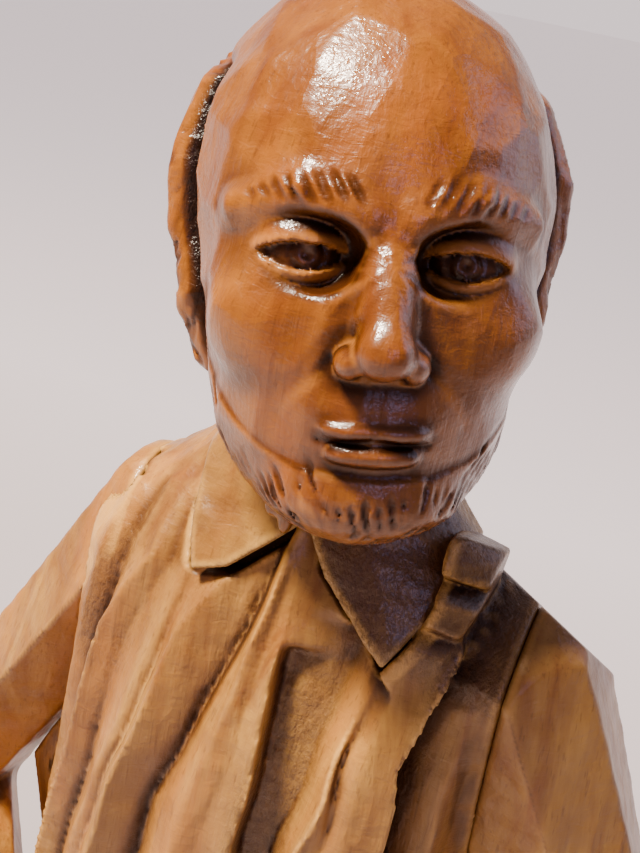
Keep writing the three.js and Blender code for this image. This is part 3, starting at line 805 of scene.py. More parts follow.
# ---------------------------------------------------------------- sleeves
class Sleeve:
    """A bent sleeve cut in long flats. Flats are given by their angle round the arm, 0 facing forwards."""

    def __init__(self, side, glue_x, stops, radii, flats, seed):
        self.side, self.glue_x = side, glue_x
        self.stops, self.radii, self.flats = stops, radii, flats
        random = np.random.default_rng(seed)
        self.shrink = random.uniform(0.90, 1.0, size=(len(stops) - 1, len(flats)))
        self.twist = random.uniform(-16, 16, size=(len(stops) - 1, len(flats)))
        self.offset = random.uniform(-4, 4, size=(len(stops) - 1, len(flats)))

    def bone(self, p, i):
        """One straight length of the sleeve."""
        a, b = self.stops[i], self.stops[i + 1]
        ra, rb = self.radii[i], self.radii[i + 1]
        length = np.linalg.norm(b - a)
        axis = (b - a) / length
        ahead = unit(vec(0, -1, 0) - (vec(0, -1, 0) @ axis) * axis)
        aside = np.cross(axis, ahead)
        w = p - a
        t = (w @ axis) / length
        radius = ra + (rb - ra) * np.clip(t, 0, 1)
        forward, sideways = w @ ahead, w @ aside
        d = cone(p, a, b, ra * 1.22, rb * 1.22)
        for k, flat in enumerate(self.flats):
            angle = np.radians(flat + self.offset[i, k] + self.twist[i, k] * (t - 0.5))
            d = cross(d, forward * np.cos(angle) + sideways * np.sin(angle) - radius * self.shrink[i, k], 0.2)
        return d

    def whole(self, spot):
        p = spot.p
        if not spot.near(self.stops[1], 60):
            return np.full(len(p), FAR)
        d = merge(self.bone(p, 0), self.bone(p, 1), 1.2)
        elbow = self.stops[1]
        for k, height in enumerate((1.0, -2.2, -5.4)):
            start = elbow + vec(-self.side * 9, -5, height)
            crease = line_distance(p, start, elbow + vec(self.side * 4, -9, height + 3.5 - 2.5 * k))
            d = d + vee(crease, 2.6, 1.1)
        return d - 0.06 * wobble(p, 4.0)

    def glued(self, spot, gap):
        """The part outside the flat glue face, moved in by the gap."""
        return cross(self.whole(spot), self.side * self.glue_x + gap - self.side * spot.p[:, 0], 0.7)

    def stump(self, spot):
        """The part carved in one with the body."""
        return cross(self.whole(spot), self.side * spot.p[:, 0] - self.side * self.glue_x, 0.7)


RIGHT_SLEEVE = Sleeve(
    -1,
    -20,
    [vec(-19.5, 0, 157.8), vec(-46, 2, 110), vec(-33.5, -9, 99)],
    [7.4, 7.8, 6.6],
    [34, 84, 132, 180, 228, 276, 324],
    31,
)
LEFT_SLEEVE = Sleeve(
    1,
    25,
    [vec(24.5, 0, 152.3), vec(38, 4, 125), vec(37, -8, 102)],
    [10.4, 9.0, 7.6],
    [18, 66, 118, 168, 214, 262, 318],
    32,
)
LEFT_SLOPE = (vec(14, 8, 165), vec(0.41, 0.43, 0.80))  # the knife flat over the back of the left shoulder
POCKETED_END = vec(-26.5, -12.5, 94.5)
CUFF_AXIS = unit(LEFT_SLEEVE.stops[2] - LEFT_SLEEVE.stops[1])
CUFF_END = LEFT_SLEEVE.stops[2] + 3 * CUFF_AXIS
RIGHT_SEAM, LEFT_SEAM = 0.10, 0.02  # how far each arm stands off its glue face


def right_arm_shape(spot):
    wrist = cone(spot.p, RIGHT_SLEEVE.stops[2], POCKETED_END, 5.0, 4.2)
    cuff_axis = unit(RIGHT_SLEEVE.stops[2] - RIGHT_SLEEVE.stops[1])
    cuff_end = RIGHT_SLEEVE.stops[2] + 4.2 * cuff_axis
    sleeve = np.maximum(RIGHT_SLEEVE.glued(spot, RIGHT_SEAM), plane(spot.p, cuff_end, cuff_axis))
    band = plane(spot.p, cuff_end - 4.5 * cuff_axis, cuff_axis)
    sleeve = sleeve + vee(band, 0.6, 0.5)
    return merge(sleeve, wrist, 0.3)


def left_arm_shape(spot):
    sleeve = np.maximum(LEFT_SLEEVE.glued(spot, LEFT_SEAM), plane(spot.p, CUFF_END, CUFF_AXIS))
    sleeve = np.maximum(sleeve, plane(spot.p, *LEFT_SLOPE))
    band = plane(spot.p, CUFF_END - 5.0 * CUFF_AXIS, CUFF_AXIS)
    sleeve = sleeve + vee(band, 0.6, 0.5)
    hollow = np.maximum(ball(spot.p, CUFF_END, 5.4), -1.6 - plane(spot.p, CUFF_END, CUFF_AXIS))
    return carve(sleeve, hollow, 0.3)


# ---------------------------------------------------------------- collars and the whole upper body
RIGHT_LEAF = [(2.0, 169.8), (-0.6, 167.0), (-4.4, 163.2), (-8.2, 161.6), (-9.8, 166)]
RIGHT_LEAF += [(-11.4, 173), (-9, 178), (1, 178)]
LEFT_LEAF = [(2.6, 169.4), (5.6, 165.6), (9.0, 162.8), (13.4, 158.8), (15.4, 162.6)]
LEFT_LEAF += [(17.2, 166.4), (17.4, 170), (14, 173.5), (10, 178), (3, 178)]
LEAVES = [(RIGHT_LEAF, vec(-4.5, -13, 168), 2.5), (LEFT_LEAF, vec(10, -13, 167), 2.9)]


def leaf_shape(corners, proud, spot):
    """One leaf of the shirt collar: a thick pointed flap that lifts towards its lower edge."""
    p = spot.p
    side, _ = torso_side(p)
    edge = polygon(p[:, 0], p[:, 2], corners)
    lift = proud - 0.10 * np.clip(p[:, 2] - 164, 0, 8)
    top = side - lift - 0.14 * wobble(p, 9.0) - 0.05 * wobble(p, 3.0)
    front = p[:, 1] + 1
    return np.maximum(np.maximum(cross(edge, top, 0.5), 0.2 - side), front)


def collar_shape(spot):
    """Both leaves, with the double knife line at the point of the left one."""
    p = spot.p
    leaves = [leaf_shape(corners, proud, spot) for corners, _, proud in LEAVES]
    for shift in (1.3, 2.7):
        start = vec(12.6 + shift * 0.2, -16, 160.4 + shift)
        line = line_distance(p, start, vec(18.4, -11, 164.6 + shift * 1.1))
        leaves[1] = leaves[1] + vee(line, 0.8, 0.35)
    d = np.minimum(*leaves)
    return np.maximum(d, -grown_head(spot))


def collar_stain_and_shadow(points):
    """Marks the left leaf, which is darker than the right one from more staining and from a painted shadow of
    the head.
    """
    return smoothstep(points[:, 0], -0.5, 2.5)


def undercut(spot):
    """Hollow cut beneath the leaves' lower edges."""
    p = spot.p
    side, _ = torso_side(p)
    total = np.full(len(p), FAR)
    for corners, centre, _ in LEAVES:
        if not spot.near(centre, 22):
            continue
        edge = polygon(p[:, 0], p[:, 2], corners)
        ring = np.abs(edge - 0.1) - 1.0 + 0.5 * np.clip(p[:, 2] - centre[2] + 1.5, 0, 8)
        band = np.abs(side + 0.2) - 1.7
        total = np.minimum(total, np.maximum(np.maximum(ring, band), p[:, 1] + 2))
    return total


JACKET_COLLAR = [
    (vec(-16.5, 1, 166.6), 2.4),
    (vec(-13, 9, 168.2), 3.1),
    (vec(-2, 13, 168.6), 3.2),
    (vec(7.5, 12.5, 164.5), 3.0),
    (vec(13.6, 8, 161.5), 2.8),
    (vec(18.0, -1, 163), 2.5),
]
LAPEL = [(13.2, 158), (15.4, 162), (16.4, 166), (15.8, 172.0), (18.8, 173.0), (20.8, 170.4), (20.4, 165.6)]
LAPEL += [(18.8, 160.6), (17.6, 156.0), (15.2, 155.2)]


def jacket_collar(spot):
    """The rolled collar behind the neck, ending in a square-cut knob at the top of the left lapel."""
    p = spot.p
    roll = chain(p, JACKET_COLLAR) + 0.25 * wobble(p, 7.0)
    side, _ = torso_side(p)
    slant = p[:, 2] + 0.3 * (p[:, 0] - 18)
    notches = vee(slant - 167.6, 1.2, 1.3) + vee(slant - 162.4, 1.4, 1.0)
    proud = 1.9 + 0.21 * np.clip(p[:, 2] - 156, 0, 14) - notches
    strip = cross(polygon(p[:, 0], p[:, 2], LAPEL), side - proud, 0.5)
    strip = np.maximum(strip, np.maximum(-2 - side, p[:, 1] + 2))
    knob_top = plane(p, vec(18.2, -8, 171.8), vec(0.15, 0.3, 1))
    knob_side = plane(p, vec(20.2, -12, 167), vec(0.85, -0.55, 0.1))
    knob_front = plane(p, vec(18, -15.4, 167), vec(-0.15, -1, 0.3))
    for flat in (knob_top, knob_side, knob_front):
        strip = cross(strip, flat, 0.3)
    return merge(roll, strip, 0.4)


def pocket_lip(p):
    """The edge of the jacket pocket that the right wrist goes into."""
    return chain(p, [(vec(-28.8, -3, 96), 1.1), (vec(-26, -11.5, 98), 1.3), (vec(-19, -17.4, 100.5), 1.1)])


def gusset(p):
    """The jacket's edge, pushed out behind the right arm by the hand in the pocket."""
    outline = [(-21, 139), (-25.4, 134), (-29.6, 125.5), (-33.6, 116.5), (-31, 107), (-26, 97), (-20, 97)]
    return cross(polygon(p[:, 0], p[:, 2], outline), np.abs(p[:, 1] - 2 + 0.12 * (p[:, 0] + 25)) - 1.3, 0.4)


def jacket_shape(spot):
    p = spot.p
    d = merge(cloth(spot), gusset(p), 1.0)
    d = merge(d, LEFT_SLEEVE.stump(spot), 2.2)
    d = np.maximum(d, plane(p, *LEFT_SLOPE))
    d = merge(d, RIGHT_SLEEVE.stump(spot), 2.2)
    d = merge(d, jacket_collar(spot), 0.5)
    d = merge(d, pocket_lip(p), 0.5)
    d = np.maximum(d, -(LEFT_SLEEVE.glued(spot, LEFT_SEAM) - 2 * LEFT_SEAM))
    d = np.maximum(d, -(RIGHT_SLEEVE.glued(spot, RIGHT_SEAM) - 2 * RIGHT_SEAM))
    wrist = cone(p, RIGHT_SLEEVE.stops[2], POCKETED_END, 5.3, 4.5)
    d = np.maximum(d, -wrist)
    d = carve(d, undercut(spot), 0.3)
    d = np.maximum(d, -grown_head(spot))
    socket = np.maximum(np.hypot(p[:, 0], p[:, 1] - NECK_Y) - NECK_RADIUS - 0.3, 162 - p[:, 2])
    return np.maximum(d, -socket)


# ---------------------------------------------------------------- trousers and shoes
PLINTH_TOP = 13.5
HIP, ANKLE = vec(11, 0, 100), vec(13, 2, 31)
TROUSER_FLATS = (8, 58, 104, 150, 198, 246, 300)


def trouser_leg(p, side):
    """One leg, cut in long flats, with a turn-up at the ankle."""
    flip = np.array([side, 1, 1])
    q = p * flip
    axis = unit(ANKLE - HIP)
    w = q - HIP
    t = (w @ axis) / np.linalg.norm(ANKLE - HIP)
    radius = 13 + (9.8 - 13) * np.clip(t, 0, 1)
    knee = 0.7 * np.exp(-(((t - 0.5) / 0.14) ** 2))
    d = np.full(len(p), -FAR)
    for k, flat in enumerate(TROUSER_FLATS):
        angle = np.radians(flat + (9 if side > 0 else -7) * (t - 0.4) * (-1) ** k)
        shrink = 0.93 + 0.015 * (k % 3)
        d = np.maximum(d, -w[:, 1] * np.cos(angle) + w[:, 0] * np.sin(angle) - (radius + knee) * shrink)
    for k in range(3):
        level = 36 + 5.2 * k + 0.9 * np.sin(q[:, 0] * 0.45 + k * 2 + side)
        front = smoothstep(-q[:, 1], -4, 6)
        d = d + vee(q[:, 2] - level, 1.9, 0.9) * front
    d = np.maximum(d, q[:, 2] - 104)
    turn_up = np.hypot(q[:, 0] - ANKLE[0], q[:, 1] - ANKLE[1]) - 10.7 - 0.25 * wobble(p, 8.0)
    turn_up = np.maximum(turn_up, np.abs(q[:, 2] - 27) - 4)
    return np.maximum(np.minimum(d, turn_up), 23 - q[:, 2])


def shoe(p, side):
    """A plain leather shoe with a sole, a heel and a toecap line."""
    matrix = turn(2, side * 12)
    q = (p - vec(side * ANKLE[0], ANKLE[1], PLINTH_TOP)) @ matrix
    forward = -q[:, 1] - 7
    upper = ellipsoid(q, vec(0, -7, 0), vec(7.6, 18, 12.5))
    instep = ellipsoid(q, vec(0, -1, 6), vec(6.6, 9, 7.5))
    d = merge(upper, instep, 2)
    d = d + vee(forward - 9.5 - 0.03 * q[:, 0] ** 2, 0.7, 0.45)
    d = np.maximum(d, 2.2 - q[:, 2])
    waist = 1 - 0.10 * np.exp(-(((forward + 3) / 5) ** 2))
    outline = np.hypot(q[:, 0] / (8.2 * waist), (q[:, 1] + 7) / 18.7)
    sole = (outline - 1) * 8.2
    sole = np.maximum(sole, np.maximum(q[:, 2] - 2.9, -q[:, 2]))
    arch = np.maximum(np.abs(forward + 4.5) - 3.2, q[:, 2] - 1.1)
    return np.minimum(d, np.maximum(sole, -arch)) - 0.05 * wobble(p, 4.0)


def legs_shape(spot):
    p = spot.p
    d = ellipsoid(p, vec(0, 0, HEM_Z + 6), vec(23, 16.5, 14))
    d = np.maximum(d, p[:, 2] - 104)
    for side in (-1, 1):
        d = merge(d, trouser_leg(p, side), 0.8)
        if spot.near(vec(side * 13, -5, 20), 26):
            d = np.minimum(d, shoe(p, side))
    fly, _ = segment_distance(p, vec(0, -17, 100), vec(0, -15, 84))
    return d + vee(fly, 1.0, 0.5)


# ---------------------------------------------------------------- left hand
def hand_shape(spot):
    """Wrist, palm, fingers and thumb hanging from the left cuff, the fingers a little curled."""
    p = spot.p
    palm_end = CUFF_END + vec(-0.5, -4.2, -9.5) + 0.3 * CUFF_AXIS
    d = cone(p, CUFF_END + 0.3 * CUFF_AXIS, palm_end, 3.7, 4.2)
    d = np.maximum(d, -plane(p, CUFF_END + 0.3 * CUFF_AXIS, CUFF_AXIS))
    for across, reach in zip((-3.6, -1.2, 1.2, 3.5), (8.0, 9.6, 9.8, 8.8)):
        knuckle = palm_end + vec(0.6, -across, -1)
        middle = knuckle + vec(-0.6, -1.6, -reach * 0.55)
        tip = knuckle + vec(-2.6, -1.2, -reach)
        finger = chain(p, [(knuckle, 1.75), (middle, 1.55), (tip, 1.25)])
        nail = ellipsoid(p, tip + vec(0.9, -0.7, -0.1), vec(0.8, 0.8, 1.1))
        d = merge(d, carve(finger, nail, 0.2), 0.25)
    thumb_root = palm_end + vec(-1.8, -3.2, 3.5)
    thumb = cone(p, thumb_root, thumb_root + vec(-1.6, -2.4, -7), 2.0, 1.45)
    return merge(d, thumb, 0.9) - 0.05 * wobble(p, 3.0)


# ---------------------------------------------------------------- plinth, felt and glue
PLINTH_HALF = (58, 42)


def plinth_shape(spot):
    p = spot.p
    radial = np.hypot(p[:, 0], p[:, 1]) + 1e-6
    outline = np.hypot(p[:, 0] / PLINTH_HALF[0], p[:, 1] / PLINTH_HALF[1]) + 1e-6
    side = radial * (1 - 1 / outline) * 0.9
    angle = np.arctan2(p[:, 1], p[:, 0])
    chips = 0.25 * np.abs(np.sin(angle * 19 + 0.8 * np.sin(angle * 3)))
    side = side + chips
    top = p[:, 2] - PLINTH_TOP
    bevel = (side + top) * 0.7071 + 1.5 - 0.35 * np.abs(np.sin(angle * 23))
    lower = (side + 1.5 - p[:, 2]) * 0.7071 + 0.8
    d = np.maximum(np.maximum(side, top), np.maximum(bevel, lower))
    return np.maximum(d, 1.5 - p[:, 2])


def glue_shape(spot):
    """Beads and runs of dried glue squeezed out where the neck meets the collar."""
    p = spot.p
    ring = np.hypot(np.hypot(p[:, 0], p[:, 1] - NECK_Y) - NECK_RADIUS - 0.5, p[:, 2] - 173) - 0.8
    d = ring - 0.35 * wobble(p, 5.0)
    for centre, radii in GLUE_DROPS:
        d = merge(d, ellipsoid(p, centre, radii), 0.8)
    return d


GLUE_DROPS = [
    (vec(-1.0, -14.4, 171.4), vec(0.9, 1.0, 1.3)),
    (vec(0.6, -14.5, 170.6), vec(0.8, 1.0, 1.9)),
    (vec(0.0, -13.6, 172.8), vec(2.0, 1.3, 1.1)),
]


# ---------------------------------------------------------------- materials
class Nodes:
    """Small helper that builds one material's node tree."""

    def __init__(self, name):
        self.material = bpy.data.materials.new(name)
        self.material.use_nodes = True
        self.tree = self.material.node_tree
        self.shader = self.tree.nodes["Principled BSDF"]

    def add(self, kind, inputs=None, **settings):
        node = self.tree.nodes.new("ShaderNode" + kind)
        for key, value in settings.items():
            setattr(node, key, value)
        for key, value in (inputs or {}).items():
            self.feed(node.inputs[key], value)
        return node

    def feed(self, socket, value):
        if isinstance(value, bpy.types.NodeSocket):
            self.tree.links.new(value, socket)
        else:
            socket.default_value = value

    def mix(self, factor, a, b, blend="MIX"):
        node = self.add("Mix", data_type="RGBA", blend_type=blend)
        self.feed(node.inputs["Factor"], factor)
        for socket, value in ((node.inputs[6], a), (node.inputs[7], b)):
            self.feed(socket, (*value, 1) if isinstance(value, tuple) else value)
        return node.outputs[2]

    def math(self, operation, a, b=0.0, clamp=False):
        node = self.add("Math", operation=operation, use_clamp=clamp)
        self.feed(node.inputs[0], a)
        self.feed(node.inputs[1], b)
        return node.outputs[0]

    def ramp(self, value, stops):
        node = self.add("ValToRGB")
        self.feed(node.inputs["Fac"], value)
        elements = node.color_ramp.elements
        while len(elements) < len(stops):
            elements.new(0.5)
        for element, (place, colour) in zip(elements, stops):
            element.position = place
            element.color = (*colour, 1) if isinstance(colour, tuple) else (colour, colour, colour, 1)
        return node.outputs["Color"]

    def stretched(self, scale=(1, 1, 1), turned=(0, 0, 0)):
        """Object coordinates in metres, scaled per axis."""
        place = self.add("TexCoord").outputs["Object"]
        return self.add("Mapping", {"Vector": place, "Scale": scale, "Rotation": turned}).outputs["Vector"]

    def noise(self, vector, scale, detail=4.0, roughness=0.55, distortion=0.0):
        inputs = {"Vector": vector, "Scale": scale, "Detail": detail, "Roughness": roughness}
        return self.add("TexNoise", {**inputs, "Distortion": distortion}).outputs["Fac"]

    def spread(self, value, low, high):
        """The value, from 0 to 1, stretched to run from low to high."""
        return self.add("MapRange", {"Value": value, "To Min": low, "To Max": high}).outputs["Result"]

    def set(self, **values):
        for key, value in values.items():
            self.feed(self.shader.inputs[key.replace("_", " ")], value)


def wood(name, light, dark, stain_and_shade, rough, coat, recess, stain_power=1.0, streak=0.5, grit=0.5):
    """Carved wood: upright grain, pores, staining gathered in the cuts together with painted shade in the
    hollows, and pale rubbed ridges.

    light and dark are colours, and so is the third colour, which stains and also paints shade in the cuts and
    patches. rough and coat set the gloss. recess is how dark the marked patches are, stain_power how dark the
    cuts are, streak how strong the fine grain is, and grit how speckled the patches are.
    """
    n = Nodes(name)
    carving = n.add("Attribute", attribute_name="carving").outputs["Color"]
    channels = n.add("SeparateColor", {"Color": carving})
    hollow, ridge, patch = channels.outputs[0], channels.outputs[1], channels.outputs[2]
    grain_place = n.stretched((1, 1, 0.07), (0.05, 0.03, 0))
    broad = n.noise(grain_place, 160, 5, 0.6, 1.2)
    fine = n.noise(grain_place, 900, 3, 0.6, 0.3)
    blotch = n.noise(n.stretched((1, 1, 0.6)), 70, 4, 0.6)
    pores = n.ramp(n.noise(n.stretched((1, 1, 0.04)), 2600, 2, 0.5), [(0.30, 1.0), (0.40, 0.0)])
    base = n.mix(n.ramp(broad, [(0.35, 0.0), (0.68, 1.0)]), light, dark)
    base = n.mix(n.math("MULTIPLY", fine, streak), base, tuple(c * 0.62 for c in dark))
    tone = n.ramp(blotch, [(0.36, 0.0), (0.66, 1.0)])
    base = n.mix(n.math("MULTIPLY", tone, 0.5), base, tuple(c * 0.8 for c in dark))
    warm = n.ramp(n.noise(n.stretched((1, 1, 0.12), (0, 0.25, 0)), 110, 3, 0.5), [(0.50, 0.0), (0.64, 1.0)])
    base = n.mix(n.math("MULTIPLY", warm, 0.45), base, (light[0] * 0.9, light[1] * 0.62, light[2] * 0.4))
    base = n.mix(n.math("MULTIPLY", pores, 0.35), base, tuple(c * 0.4 for c in dark))
    # painted shade: darker wherever the carving is hollow, as if less light reached it
    hollow_shade = n.ramp(hollow, [(0.01, 0.0), (0.16, 1.0)])
    base = n.mix(n.math("MULTIPLY", hollow_shade, 0.75), base, tuple(c * 0.62 for c in dark))
    # staining gathered in the cuts, which also paints the shade that falls in them
    cut = n.ramp(hollow, [(0.08, 0.0), (0.32, 0.75), (0.75, 1.0)])
    base = n.mix(n.math("MULTIPLY", cut, stain_power), base, stain_and_shade)
    # the marked patches: real staining in torn grain and the frayed glue line, elsewhere painted shade and
    # painted shadow
    base = n.mix(n.math("MULTIPLY", patch, recess), base, stain_and_shade)
    worn = n.ramp(ridge, [(0.12, 0.0), (0.55, 1.0)])
    pale = tuple(min(1, c * 1.35 + 0.02) for c in light)
    base = n.mix(n.math("MULTIPLY", worn, 0.55), base, pale)
    torn = n.noise(n.stretched((1, 1, 0.5)), 1500, 3, 0.7)
    speck = n.math("MULTIPLY", n.ramp(torn, [(0.45, 0.0), (0.62, 1.0)]), patch)
    base = n.mix(n.math("MULTIPLY", speck, grit), base, tuple(c * 0.35 for c in dark))
    # reflections are dulled in the cuts, standing in for their shade as well as for dull staining
    dull = n.math("MULTIPLY", cut, 0.8)
    n.set(Specular_IOR_Level=n.math("SUBTRACT", 0.4, n.math("MULTIPLY", dull, 0.4)))
    n.set(Coat_Weight=n.math("MULTIPLY", n.math("SUBTRACT", 1.0, dull), coat))
    gloss = n.noise(n.stretched((1, 1, 0.5)), 260, 3, 0.6)
    roughness = n.spread(gloss, rough - 0.10, rough + 0.16)
    chatter = n.noise(n.stretched((1, 1, 2.4)), 520, 3, 0.6, 0.6)
    lumps = n.noise(n.stretched(), 240, 3, 0.5)
    flats = n.add("TexVoronoi", {"Vector": n.stretched((1, 1, 0.3)), "Scale": 300.0}).outputs["Distance"]
    dishes = n.math("MULTIPLY", flats, flats)
    height = n.math("ADD", n.math("MULTIPLY", fine, 0.45), n.math("MULTIPLY", chatter, 0.35))
    height = n.math("ADD", height, n.math("MULTIPLY", lumps, 0.7))
    height = n.math("ADD", height, n.math("MULTIPLY", dishes, 1.0))
    height = n.math("ADD", height, n.math("MULTIPLY", n.math("MULTIPLY", torn, patch), 1.6))
    bump = n.add("Bump", {"Height": height, "Strength": 0.6, "Distance": 0.00045})
    n.set(Base_Color=base, Roughness=roughness, Normal=bump.outputs["Normal"])
    sparkle = n.add("Bump", {"Height": n.noise(n.stretched(), 1700, 2, 0.6), "Distance": 0.0002})
    sparkle.inputs["Strength"].default_value = 0.55
    n.set(Coat_Roughness=0.13, Coat_IOR=1.5, Coat_Normal=sparkle.outputs["Normal"])
    return n.material


def dried_glue():
    n = Nodes("dried_glue")
    tone = n.noise(n.stretched(), 300, 3)
    n.set(Base_Color=n.mix(tone, (0.36, 0.13, 0.02), (0.15, 0.045, 0.006)), Roughness=0.15)
    n.set(Coat_Weight=0.5, Coat_Roughness=0.05)
    ripples = n.noise(n.stretched(), 700, 2)
    bump = n.add("Bump", {"Height": ripples, "Strength": 0.3, "Distance": 0.0002})
    n.set(Normal=bump.outputs["Normal"])
    return n.material


def felt():
    n = Nodes("green_felt")
    fibres = n.noise(n.stretched(), 1800, 6, 0.75, 1.5)
    cloud = n.noise(n.stretched(), 90, 4, 0.6)
    base = n.mix(fibres, (0.03, 0.075, 0.045), (0.075, 0.16, 0.10))
    base = n.mix(n.math("MULTIPLY", cloud, 0.5), base, (0.04, 0.10, 0.06))
    bump = n.add("Bump", {"Height": fibres, "Strength": 0.8, "Distance": 0.0004})
    n.set(Base_Color=base, Roughness=0.95, Normal=bump.outputs["Normal"])
    n.set(Sheen_Weight=0.5, Sheen_Roughness=0.6)
    return n.material


def zinc_steel():
    n = Nodes("zinc_steel")
    spin = n.noise(n.stretched((1, 1, 14)), 400, 3)
    roughness = n.spread(spin, 0.25, 0.5)
    n.set(Base_Color=n.mix(spin, (0.45, 0.46, 0.48), (0.62, 0.63, 0.65)), Roughness=roughness, Metallic=1.0)
    return n.material


def bare_dowel():
    n = Nodes("bare_dowel")
    grain = n.noise(n.stretched((1, 1, 0.08)), 700, 4)
    bump = n.add("Bump", {"Height": grain, "Strength": 0.4, "Distance": 0.0002})
    n.set(Base_Color=n.mix(grain, (0.62, 0.44, 0.26), (0.42, 0.27, 0.14)), Roughness=0.7)
    n.set(Normal=bump.outputs["Normal"])
    return n.material


BODY_WOOD = wood(
    "body_wood",
    light=(0.60, 0.31, 0.064),
    dark=(0.25, 0.080, 0.010),
    stain_and_shade=(0.018, 0.006, 0.004),
    rough=0.45,
    coat=0.42,
    # how dark the marked patches are: staining in torn grain and glue, painted shade in deep folds, painted
    # shadow on the left shoulder
    recess=0.5,
    grit=0.4,
)
HEAD_WOOD = wood(
    "head_wood",
    light=(0.38, 0.128, 0.011),
    dark=(0.19, 0.046, 0.003),
    stain_and_shade=(0.011, 0.003, 0.001),
    rough=0.30,
    coat=0.7,
    # how dark the painted shade in the temple recess is
    recess=0.95,
    streak=0.35,
    grit=0.0,
)
# a cooler third colour and a dark patch on the left leaf: partly staining, partly the painted shadow of the
# head
COLLAR_WOOD = wood(
    "collar_wood",
    light=(0.58, 0.31, 0.060),
    dark=(0.25, 0.080, 0.010),
    stain_and_shade=(0.030, 0.012, 0.012),
    rough=0.40,
    coat=0.6,
    recess=0.62,
)
PLINTH_WOOD = wood(
    "plinth_wood",
    light=(0.24, 0.10, 0.04),
    dark=(0.12, 0.045, 0.018),
    stain_and_shade=(0.02, 0.008, 0.004),
    rough=0.42,
    coat=0.3,
    recess=0.0,
    stain_power=0.8,
    grit=0,
)


def finish_piece(piece, material, slot_name, *nodes):
    piece.data.materials.clear()
    piece.data.materials.append(material)
    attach(piece, "root")
    if nodes:
        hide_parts(*nodes)


# ---------------------------------------------------------------- build the pieces
def build_pieces():
    for part, y_low, y_high, step in (("face", -36, -2, 0.275), ("nape", -2.6, 20, 0.4)):
        low, high = (-24, y_low, 161), (25, y_high, 223)
        head = sculpt("carved_head_" + part, head_shape, low, high, step, temple_recess_shade)
        finish_piece(head, HEAD_WOOD, "head_wood", "head")
    parts = (
        ("front", -25, 0.6, 104, 177, 0.34),
        ("back", 0, 25, 104, 177, 0.5),
        ("skirt", -25, 25, 90, 104.6, 0.5),
    )
    for part, y_low, y_high, z_low, z_high, step in parts:
        low, high = (-34, y_low, z_low), (34, y_high, z_high)
        jacket = sculpt("carved_jacket_" + part, jacket_shape, low, high, step, rough_stain_and_painted_shade)
        finish_piece(jacket, BODY_WOOD, "body_wood", "figure_body")
    collar = sculpt("carved_shirt_collar", collar_shape, (-13, -20, 157), (20, 2, 179), 0.27, collar_stain_and_shadow)
    finish_piece(collar, COLLAR_WOOD, "body_wood")
    legs = sculpt("carved_trousers_and_shoes", legs_shape, (-27, -28, PLINTH_TOP - 0.5), (27, 21, 105), 0.55)
    finish_piece(legs, BODY_WOOD, "body_wood")
    right_arm = sculpt("carved_right_arm", right_arm_shape, (-56, -20, 89), (-18, 16, 172), 0.38)
    finish_piece(right_arm, BODY_WOOD, "body_wood", "right_arm")
    left_arm = sculpt("carved_left_arm", left_arm_shape, (22, -20, 95), (50, 17, 170), 0.36)
    finish_piece(left_arm, BODY_WOOD, "body_wood", "left_arm")
    hand = sculpt("carved_left_hand", hand_shape, (27, -26, 74), (45, -2, 103), 0.3)
    finish_piece(hand, HEAD_WOOD, "head_wood", "left_hand")
    plinth = sculpt("carved_plinth", plinth_shape, (-58, -42, 1), (58, 42, PLINTH_TOP), 0.75)
    finish_piece(plinth, PLINTH_WOOD, "plinth_wood", "plinth")
    glue = sculpt("glue_bead", glue_shape, (-12, -17, 166), (12, 13, 176), 0.3)
    finish_piece(glue, dried_glue(), "glue", "neck_glue_bead")
    kept = {
        "felt_pad": felt(),
        "right_plinth_screw": zinc_steel(),
        "left_plinth_screw": zinc_steel(),
        "neck_dowel": bare_dowel(),
        "right_shoulder_dowel": bare_dowel(),
        "left_shoulder_dowel": bare_dowel(),
        "left_wrist_peg": bare_dowel(),
    }
    for node, material in kept.items():
        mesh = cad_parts[node].data
        mesh.materials.clear()
        mesh.materials.append(material)


# ---------------------------------------------------------------- floor, lights and camera
def build_floor():
    size = 40.0
    mesh = bpy.data.meshes.new("floor")
    corners = [(-size, -size, 0), (size, -size, 0), (size, size, 0), (-size, size, 0)]
    mesh.from_pydata(corners, [], [(0, 1, 2, 3)])
    floor = bpy.data.objects.new("floor", mesh)
    bpy.context.scene.collection.objects.link(floor)
    n = Nodes("pale_floor")
    tone = n.noise(n.stretched(), 1.5, 2)
    n.set(Base_Color=n.mix(tone, (0.42, 0.355, 0.355), (0.45, 0.385, 0.385)), Roughness=0.85)
    depth = n.add("SeparateXYZ", {"Vector": n.stretched()}).outputs["Y"]
    rise = {"From Min": 0.0, "From Max": 0.4, "To Min": 0.05, "To Max": 0.95}
    glow = n.add("MapRange", {"Value": depth, **rise}).outputs["Result"]
    n.set(Emission_Color=(1.0, 0.84, 0.85, 1), Emission_Strength=glow)
    mesh.materials.append(n.material)


def area_light(name, place, aim, size, power, colour):
    light = bpy.data.lights.new(name, "AREA")
    light.shape = "RECTANGLE"
    light.size, light.size_y = size
    light.energy = power
    light.color = colour
    holder = bpy.data.objects.new(name, light)
    bpy.context.scene.collection.objects.link(holder)
    aim_object(holder, vec(*place), vec(*aim))


def aim_object(holder, place, aim, roll=0.0):
    """Puts an object at a place in metres with its -Z axis on a point, rolled about that axis."""
    back = unit(place - aim)
    right = unit(np.cross(vec(0, 0, 1), back))
    up = np.cross(back, right)
    c, s = math.cos(roll), math.sin(roll)
    right, up = c * right + s * up, c * up - s * right
    matrix = np.eye(4)
    matrix[:3, 0], matrix[:3, 1], matrix[:3, 2], matrix[:3, 3] = right, up, back, place
    holder.matrix_world = Matrix(matrix.tolist())


